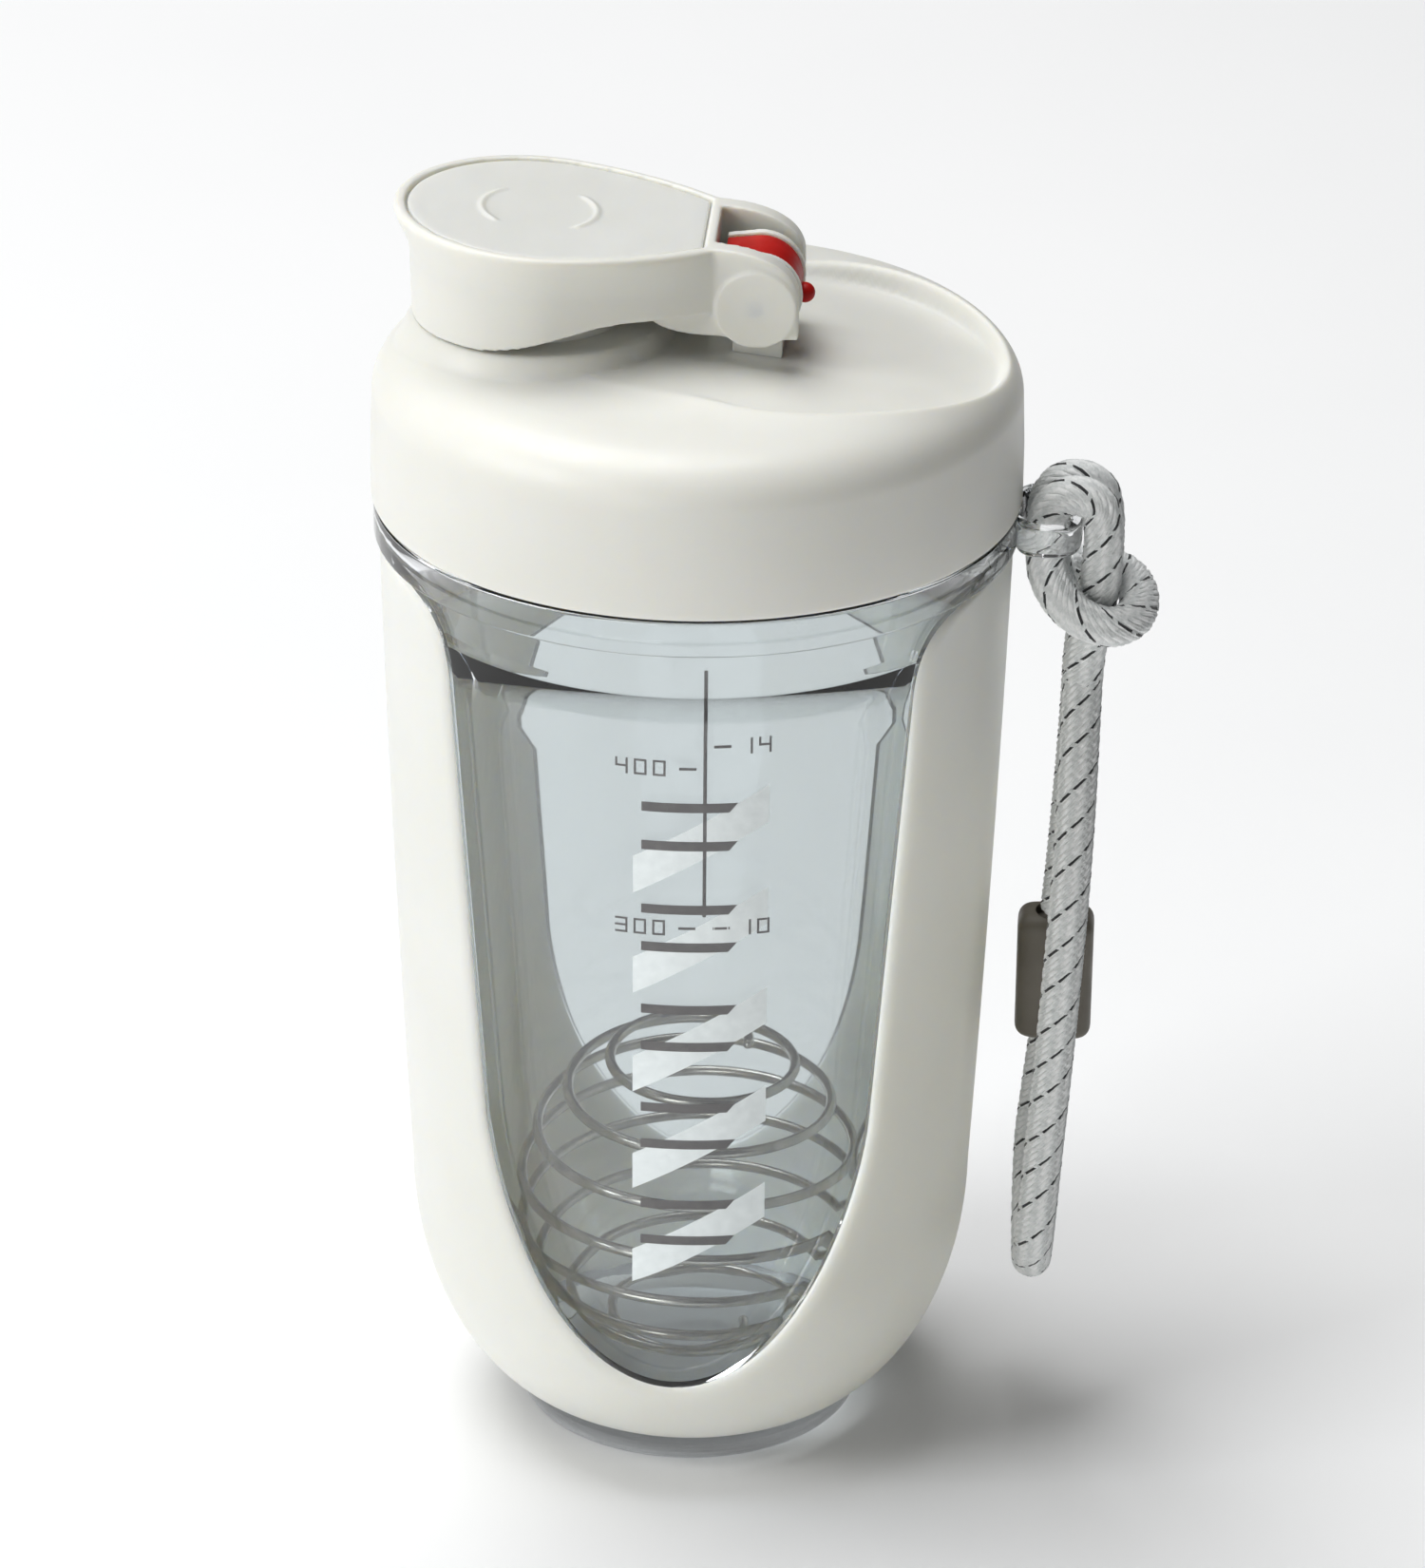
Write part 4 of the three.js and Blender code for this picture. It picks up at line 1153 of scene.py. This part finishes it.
def make_lid():
    """The lid's shell: its top, skirt, hollow and spout as one closed skin."""
    sides = 208
    angle = full_turn(sides)
    x, y = eccentric(SPOUT_OUTER, LID_EDGE, np.sin(quarter_turn(110))[:, None], angle)
    outside = np.stack([x, y, lid_outside(x, y)], -1)
    skirt = rounded([
        (LID_EDGE, LID_SIDE_TOP, 0), (LID_RADIUS, LID_SIDE_TOP - 8, 0),
        (LID_RADIUS, LID_BOTTOM, 0.6), (LID_INNER, LID_BOTTOM, 0.3), (LID_INNER, CEILING_SIDE, 0),
    ], 5)
    x, y = eccentric(SPOUT_BORE, LID_INNER, np.sin(quarter_turn(60)[::-1])[:, None], angle)
    ceiling = dome(np.hypot(x, y), LID_INNER, CEILING_SIDE, CEILING_SHOULDER, CEILING_TOP)
    ceiling = ceiling - lid_cut(x, y, ceiling + LID_WALL)
    inside = np.stack([x, y, ceiling], -1)
    spout = rounded([
        (SPOUT_BORE, CEILING_TOP, 0), (SPOUT_BORE, SPOUT_TOP, 0.8),
        (SPOUT_OUTER, SPOUT_TOP, 0.8), (SPOUT_OUTER, PEDESTAL_TOP, 0),
    ], 5)
    rows = np.concatenate([
        outside, turned(skirt[1:-1], sides), inside, turned(spout[1:-1], sides, SPOUT_X),
        outside[:1],
    ])
    show(closed_mesh("lid_cover", rows, 40), [CREAM], "lid", "cream_plastic", "lid_shell")


def make_liner():
    """The threaded liner inside the lid, with the chimney that meets the spout."""
    low, ceiling, thick = LINER_LOW[2], 163.5, 1.8
    radius, inner = LINER_HIGH[1], 43.2
    cup = rounded([
        (0, ceiling, 0), (inner, ceiling, 0.8), (inner, low, 0.3), (radius, low, 0.4),
        (radius, ceiling + thick, 1.2), (0, ceiling + thick, 0),
    ])
    skin = Skin()
    skin.grid(turned(cup), around=True)
    foot, tube_top = ceiling + 0.3, LINER_HIGH[2]
    bore, outer = SPOUT_BORE + 0.4, 10.2
    chimney = rounded([
        (bore, foot, 0), (bore, tube_top, 0.4), (outer, tube_top, 0.4), (outer, foot, 0),
        (bore, foot, 0),
    ])
    skin.grid(turned(chimney, 64, SPOUT_X), around=True)
    helix_ridge(skin, inner + 0.3, inner - 1.2, LINER_THREAD)
    mesh = skin.mesh("liner", sharp=40)
    show(mesh, [LINER_CREAM], "lid", "liner_plastic", "lid_liner")


def make_gasket():
    """The sealing ring under the lid."""
    low, high = GASKET_LOW[2], GASKET_HIGH[2]
    middle, inner, outer = (low + high) / 2, 38.9, 40.9
    ring = rounded([
        (inner, middle, 0), (inner, low, 0.4), (outer, low, 0.4), (outer, high, 0.4),
        (inner, high, 0.4), (inner, middle, 0),
    ])
    mesh = closed_mesh("gasket_ring", turned(ring, 128))
    show(mesh, [SILICONE], "lid_ring", "silicone", "lid_gasket")


def make_plug():
    """The stopper under the cap: a tapered plug and a flange."""
    low, high = PLUG_LOW[2], PLUG_HIGH[2]
    seat = SPOUT_TOP + 0.3
    tip, plug, flange = 6.6, 7.3, 10.5
    stopper = rounded([
        (0, low, 0), (tip, low, 0.6), (plug, low + 1, 0.4), (plug, seat, 0.3),
        (flange, seat, 0.4), (flange, high, 0.3), (0, high, 0),
    ])
    mesh = closed_mesh("spout_stopper", turned(stopper, 96, SPOUT_X))
    show(mesh, [SILICONE], "cap", "silicone", "spout_plug")


def make_pin():
    """The steel pin that the cap and the lock tab turn on."""
    short = (HINGE_X, PIN_LOW[1] + 0.2, HINGE_Z)
    path = np.linspace(short, (HINGE_X, PIN_HIGH[1] - 0.2, HINGE_Z), 8)
    mesh = closed_mesh("pin", tube_rows(path, np.full((8, 32), PIN_RADIUS), 0.2), 40)
    show(mesh, [STEEL], "lid", "steel_wire", "hinge_pin")


# ---- Moulded pieces: joined and cut solids with softened edges ----
def solid(rings):
    """A helper object that rides on nothing: a closed solid through rings of points."""
    rings = np.asarray(rings, float)
    levels, count = rings.shape[:2]
    faces = [list(range(count)), list(range((levels - 1) * count, levels * count))]
    for level in range(levels - 1):
        for i in range(count):
            a, b = level * count + i, level * count + (i + 1) % count
            faces.append([a, b, b + count, a + count])
    mesh = bpy.data.meshes.new("solid")
    mesh.from_pydata((rings.reshape(-1, 3) * MM).tolist(), [], faces)
    finish_mesh(mesh, 30)
    piece = bpy.data.objects.new("solid", mesh)
    bpy.context.collection.objects.link(piece)
    return piece


def side_prism(outline, half_width):
    """A solid of an (x, z) outline, centred across Y."""
    flat = np.asarray(outline, float)
    return solid([
        np.column_stack([flat[:, 0], np.full(len(flat), y), flat[:, 1]])
        for y in (-half_width, half_width)
    ])


def cross_bar(radius, half_width):
    """A round bar on the hinge's axis."""
    return side_prism(upright(radius, full_turn(64), 0)[:, :2] + (HINGE_X, HINGE_Z), half_width)


def block(x0, x1, half_width, z0, z1):
    """A box centred across Y."""
    return side_prism(rectangle(x0, x1, z0, z1), half_width)


def moulded(name, adds, cuts, voxel, passes):
    """Joins solids, cuts others out, and softens every edge, as a moulding has them."""
    base = adds[0]
    for others, operation in ((adds[1:], "UNION"), (cuts, "DIFFERENCE")):
        for other in others:
            join = base.modifiers.new(operation, "BOOLEAN")
            join.operation = operation
            join.object = other
            join.solver = "EXACT"
    remesh = base.modifiers.new("remesh", "REMESH")
    remesh.mode = "VOXEL"
    remesh.voxel_size = voxel * MM
    soften = base.modifiers.new("soften", "SMOOTH")
    soften.factor = 0.5
    soften.iterations = passes
    graph = bpy.context.evaluated_depsgraph_get()
    mesh = bpy.data.meshes.new_from_object(base.evaluated_get(graph), depsgraph=graph)
    mesh.name = name
    for helper in [*adds, *cuts]:
        bpy.data.objects.remove(helper)
    mesh.materials.clear()
    finish_mesh(mesh, 60)
    return mesh


def cap_top(x):
    """Height of the cap's top."""
    return CAP_END_TOP + CAP_TOP_SLOPE * (x - CAP_END_X)


def teardrop(radius, end_half, end_x, steps=72):
    """A round end about the spout, and sides that curve in to a narrower square end."""
    angle = np.linspace(CAP_TAPER_FROM, 2 * math.pi - CAP_TAPER_FROM, steps)
    arc = upright(radius, angle, 0, SPOUT_X)[:, :2]
    bend = arc[0] + CAP_TAPER * np.array([math.sin(CAP_TAPER_FROM), -math.cos(CAP_TAPER_FROM)])
    t = np.linspace(0, 1, steps // 3)[1:, None]
    side = arc[0] * (1 - t) ** 2 + 2 * bend * t * (1 - t) + np.array([end_x, end_half]) * t ** 2
    return np.vstack([arc, side * (1, -1), side[::-1]])


def cap_level(depth):
    """The cap's outline at a depth under its top edge: flared at the top, with a rounded rim."""
    roll = CAP_RIM - math.sqrt(max(0, CAP_RIM ** 2 - max(0, CAP_RIM - depth) ** 2))
    flare = CAP_WAIST + (CAP_RADIUS - CAP_WAIST) * math.exp(-((depth / CAP_FLARE_DEPTH) ** 2))
    outline = teardrop(flare - roll, CAP_END_HALF - roll, CAP_END_X)
    return np.column_stack([outline, cap_top(outline[:, 0]) - depth])


def cap_body():
    """The solid of the cap without its hinge cheeks."""
    foot = teardrop(CAP_WAIST, CAP_END_HALF, CAP_END_X)
    share = (foot[:, 0] - CAP_UNDER_FROM) / (CAP_UNDER_TO - CAP_UNDER_FROM)
    under = np.column_stack([foot, CAP_UNDER + CAP_UNDER_RISE * smooth_step(share)])
    depths = (6.6, 5.2, 4, 3, 2.1, 1.4, 0.9, 0.6, 0.35, 0.15, 0)
    return solid([under, *(cap_level(depth) for depth in depths)])


def cheek_outline():
    """The side view of the hinge cheeks."""
    crown = bezier(
        (CHEEK_BACK, HINGE_Z + 1.8), (14.7, 188), (10.2, 190.8), (CAP_END_X, CAP_END_TOP), 16,
    )
    front = -6.5
    belly = bezier((front, 180.6), (-5.4, 178.6), (-1, 177.9), (4, 177.9), 8)
    return [(front, cap_top(front)), *belly, (CHEEK_BACK, 177.6), *crown]


def round_column(radius, low, high):
    """An upright round solid on the spout's axis."""
    return solid([upright(radius, full_turn(96), z, SPOUT_X) for z in (low, high)])


def make_cap():
    """The flip cap, with a seat for its top panel and cheeks that hold the hinge pin."""
    under, over = 170, 200  # heights clear of the cap
    seat = teardrop(PANEL_RADIUS + 0.3, PANEL_END_HALF + 0.3, PANEL_END_X + 0.3)
    seat_solid = solid([
        np.column_stack([seat, cap_top(seat[:, 0]) + lift]) for lift in (-PANEL_SEAT, 2)
    ])
    adds = [
        cap_body(),
        side_prism(cheek_outline(), CAP_END_HALF),
        cross_bar(CHEEK_CROSS, CAP_END_HALF + 0.4),
    ]
    cuts = [
        round_column(CAP_HOLLOW, under, CAP_ROOF),
        block(-10, 0.2, CHEEK_INNER, under, 188),
        block(CAP_END_X, 20, CHEEK_INNER, under, over),
        cross_bar(SWING_RADIUS, CHEEK_INNER),
        seat_solid,
        cross_bar(PIN_HOLE, CAP_END_HALF),
    ]
    mesh = moulded("flip_cap", adds, cuts, 0.3, 4)
    show(mesh, [CREAM], "cap", "cream_plastic", "cap_shell")


PANEL_RADIUS = 18.9
PANEL_END_HALF = 9.1
PANEL_END_X = 1
PANEL_SEAT = 1.2
PANEL_DROP = 0.3
PANEL_UNDER = 1
ARC_RADIUS = 8.3
ARC_WIDTH = 0.5
ARC_RISE = 0.28
ARC_HALF = 0.95  # radians to each side of the middle line
ARC_FADE = 0.25


def make_cap_panel():
    """The inset top panel, with two raised arcs about the spout's axis."""
    steps = 180
    outline = teardrop(PANEL_RADIUS, PANEL_END_HALF, PANEL_END_X, steps)
    half = steps + steps // 3 - 1  # where the outline reaches its square end
    end = np.linspace(outline[half - 1], outline[half], 16)[1:-1]
    outline = np.vstack([outline[:half], end, outline[half:-1]])
    offset = outline - (SPOUT_X, 0)
    reach = np.linalg.norm(offset, axis=1)
    way = offset / reach[:, None]
    turn = np.abs(np.arctan2(way[:, 1], way[:, 0]))
    arcs = ARC_RISE * smooth_step((ARC_HALF - np.minimum(turn, math.pi - turn)) / ARC_FADE)

    def level(radius, drop):
        flat = way * np.reshape(radius, (-1, 1)) + (SPOUT_X, 0)
        return np.column_stack([flat, cap_top(flat[:, 0]) - drop])

    rings = []
    plain_from, edge = 10.5, 0.4
    for radius in np.concatenate([[0, 3, 5, 6.4], np.linspace(7, 9.6, 22), [plain_from]]):
        swell = np.exp(-(((radius - ARC_RADIUS) / ARC_WIDTH) ** 2))
        rings.append(level(radius, PANEL_DROP - swell * arcs))
    for share in np.linspace(0, 1, 9)[1:-1]:
        rings.append(level(plain_from + (reach - plain_from - edge) * share, PANEL_DROP))
    for down in quarter_turn(5):
        inward = edge * (1 - math.sin(down))
        rings.append(level(reach - inward, PANEL_DROP + edge * (1 - math.cos(down))))
    rings += [level(reach, PANEL_UNDER), level(0, PANEL_UNDER)]
    mesh = closed_mesh("cap_panel", rings, 50)
    show(mesh, [CREAM], "cap", "cream_plastic", "cap_top_panel")


def band_outline(outer, inner):
    """The side view of a band round the hinge, flat on top towards the cap."""
    turn = np.radians(np.linspace(-38, 90, 48))
    circle = np.stack([np.cos(turn), np.sin(turn)], -1)
    hinge = np.array([HINGE_X, HINGE_Z])
    flat = [(FLAT_END, HINGE_Z + outer - FLAT_DROP), (FLAT_END, HINGE_Z + inner - FLAT_DROP)]
    return np.vstack([hinge + outer * circle, flat, hinge + inner * circle[::-1]])


def make_post():
    """The lid's hinge post: two flanges with flat tops, and the drum that the red tab turns on."""
    top = HINGE_Z + FLANGE
    flats = [
        (HINGE_X, HINGE_Z), (HINGE_X, top), (FLAT_END, top - FLAT_DROP), (FLAT_END, HINGE_Z + 2),
    ]
    adds = [
        block(HINGE_X - POST_DEEP, HINGE_X + POST_DEEP, POST_HALF, LID_TOP - 4.5, HINGE_Z),
        cross_bar(FLANGE, POST_HALF),
        side_prism(flats, POST_HALF),
    ]
    cuts = [cross_bar(SWING_RADIUS, GROOVE_HALF), cross_bar(PIN_HOLE, 12)]
    body = moulded("hinge_post", adds, cuts, 0.22, 3)
    drum = [cross_bar(DRUM, GROOVE_HALF + 0.5)]
    core = moulded("hinge_core", drum, [cross_bar(PIN_HOLE, 12)], 0.22, 2)
    for mesh in (body, core):
        show(mesh, [CREAM], "lid", "cream_plastic")


def make_tab():
    """The red lock tab: a band round the hinge with a thumb nub."""
    turn = math.radians(-10)
    nub_radius = 1.5
    reach = TAB_OUTER + 0.5
    middle = np.array([HINGE_X + reach * math.cos(turn), 0, HINGE_Z + reach * math.sin(turn)])
    angle = full_turn(32)
    nub = []
    for polar in np.radians(np.linspace(4, 176, 20)):
        wide, along = math.sin(polar), math.cos(polar)
        nub.append(middle + nub_radius * np.stack([
            wide * np.cos(angle), 0 * angle + along, wide * np.sin(angle),
        ], -1))
    adds = [side_prism(band_outline(TAB_OUTER, TAB_INNER), TAB_HALF), solid(nub)]
    mesh = moulded("red_tab", adds, [], 0.16, 3)
    show(mesh, [RED], "lock", "red_plastic", "lock_tab")


make_side_shell()
make_jacket()
make_lug()
make_cup()
make_scale()
make_stripes()
make_whisk()
make_lid()
make_liner()
make_gasket()
make_plug()
make_pin()
make_cap()
make_cap_panel()
make_post()
make_tab()


# ---- Studio ----
def make_floor():
    """A wide pale floor that reaches well outside the view."""
    half = 3.0
    mesh = bpy.data.meshes.new("floor")
    corners = [(-half, -half, 0), (half, -half, 0), (half, half, 0), (-half, half, 0)]
    mesh.from_pydata(corners, [], [(0, 1, 2, 3)])
    mesh.materials.append(floor_paper())
    floor = bpy.data.objects.new("floor", mesh)
    bpy.context.collection.objects.link(floor)


def area_light(name, place, size, power, colour=(1, 1, 1)):
    """A soft square light that faces the bottle."""
    data = bpy.data.lights.new(name, "AREA")
    data.shape = "SQUARE"
    data.size = size
    data.energy = power
    data.color = colour
    light = bpy.data.objects.new(name, data)
    light.location = place
    light.rotation_euler = (AIM - Vector(place)).to_track_quat("-Z", "Y").to_euler()
    bpy.context.collection.objects.link(light)


def make_light():
    """A key light from the upper left, a soft fill and a pale sky."""
    area_light("key", (-1.7, -0.85, 1.3), 0.9, 21, (0.99, 0.995, 1))
    area_light("fill", (-0.8, -2.1, 0.5), 1.0, 12, (1, 0.985, 0.95))
    area_light("top", (-0.5, 0.4, 2.2), 1.6, 46)
    world = bpy.data.worlds.new("studio")
    world.use_nodes = True
    sky = world.node_tree.nodes["Background"]
    sky.inputs["Color"].default_value = (1, 0.995, 0.95, 1)
    sky.inputs["Strength"].default_value = 0.02
    scene = bpy.context.scene
    scene.world = world
    scene.view_settings.view_transform = "Standard"
    scene.cycles.transparent_max_bounces = 40
    scene.cycles.transmission_bounces = 24
    scene.cycles.max_bounces = 24


make_floor()
make_light()
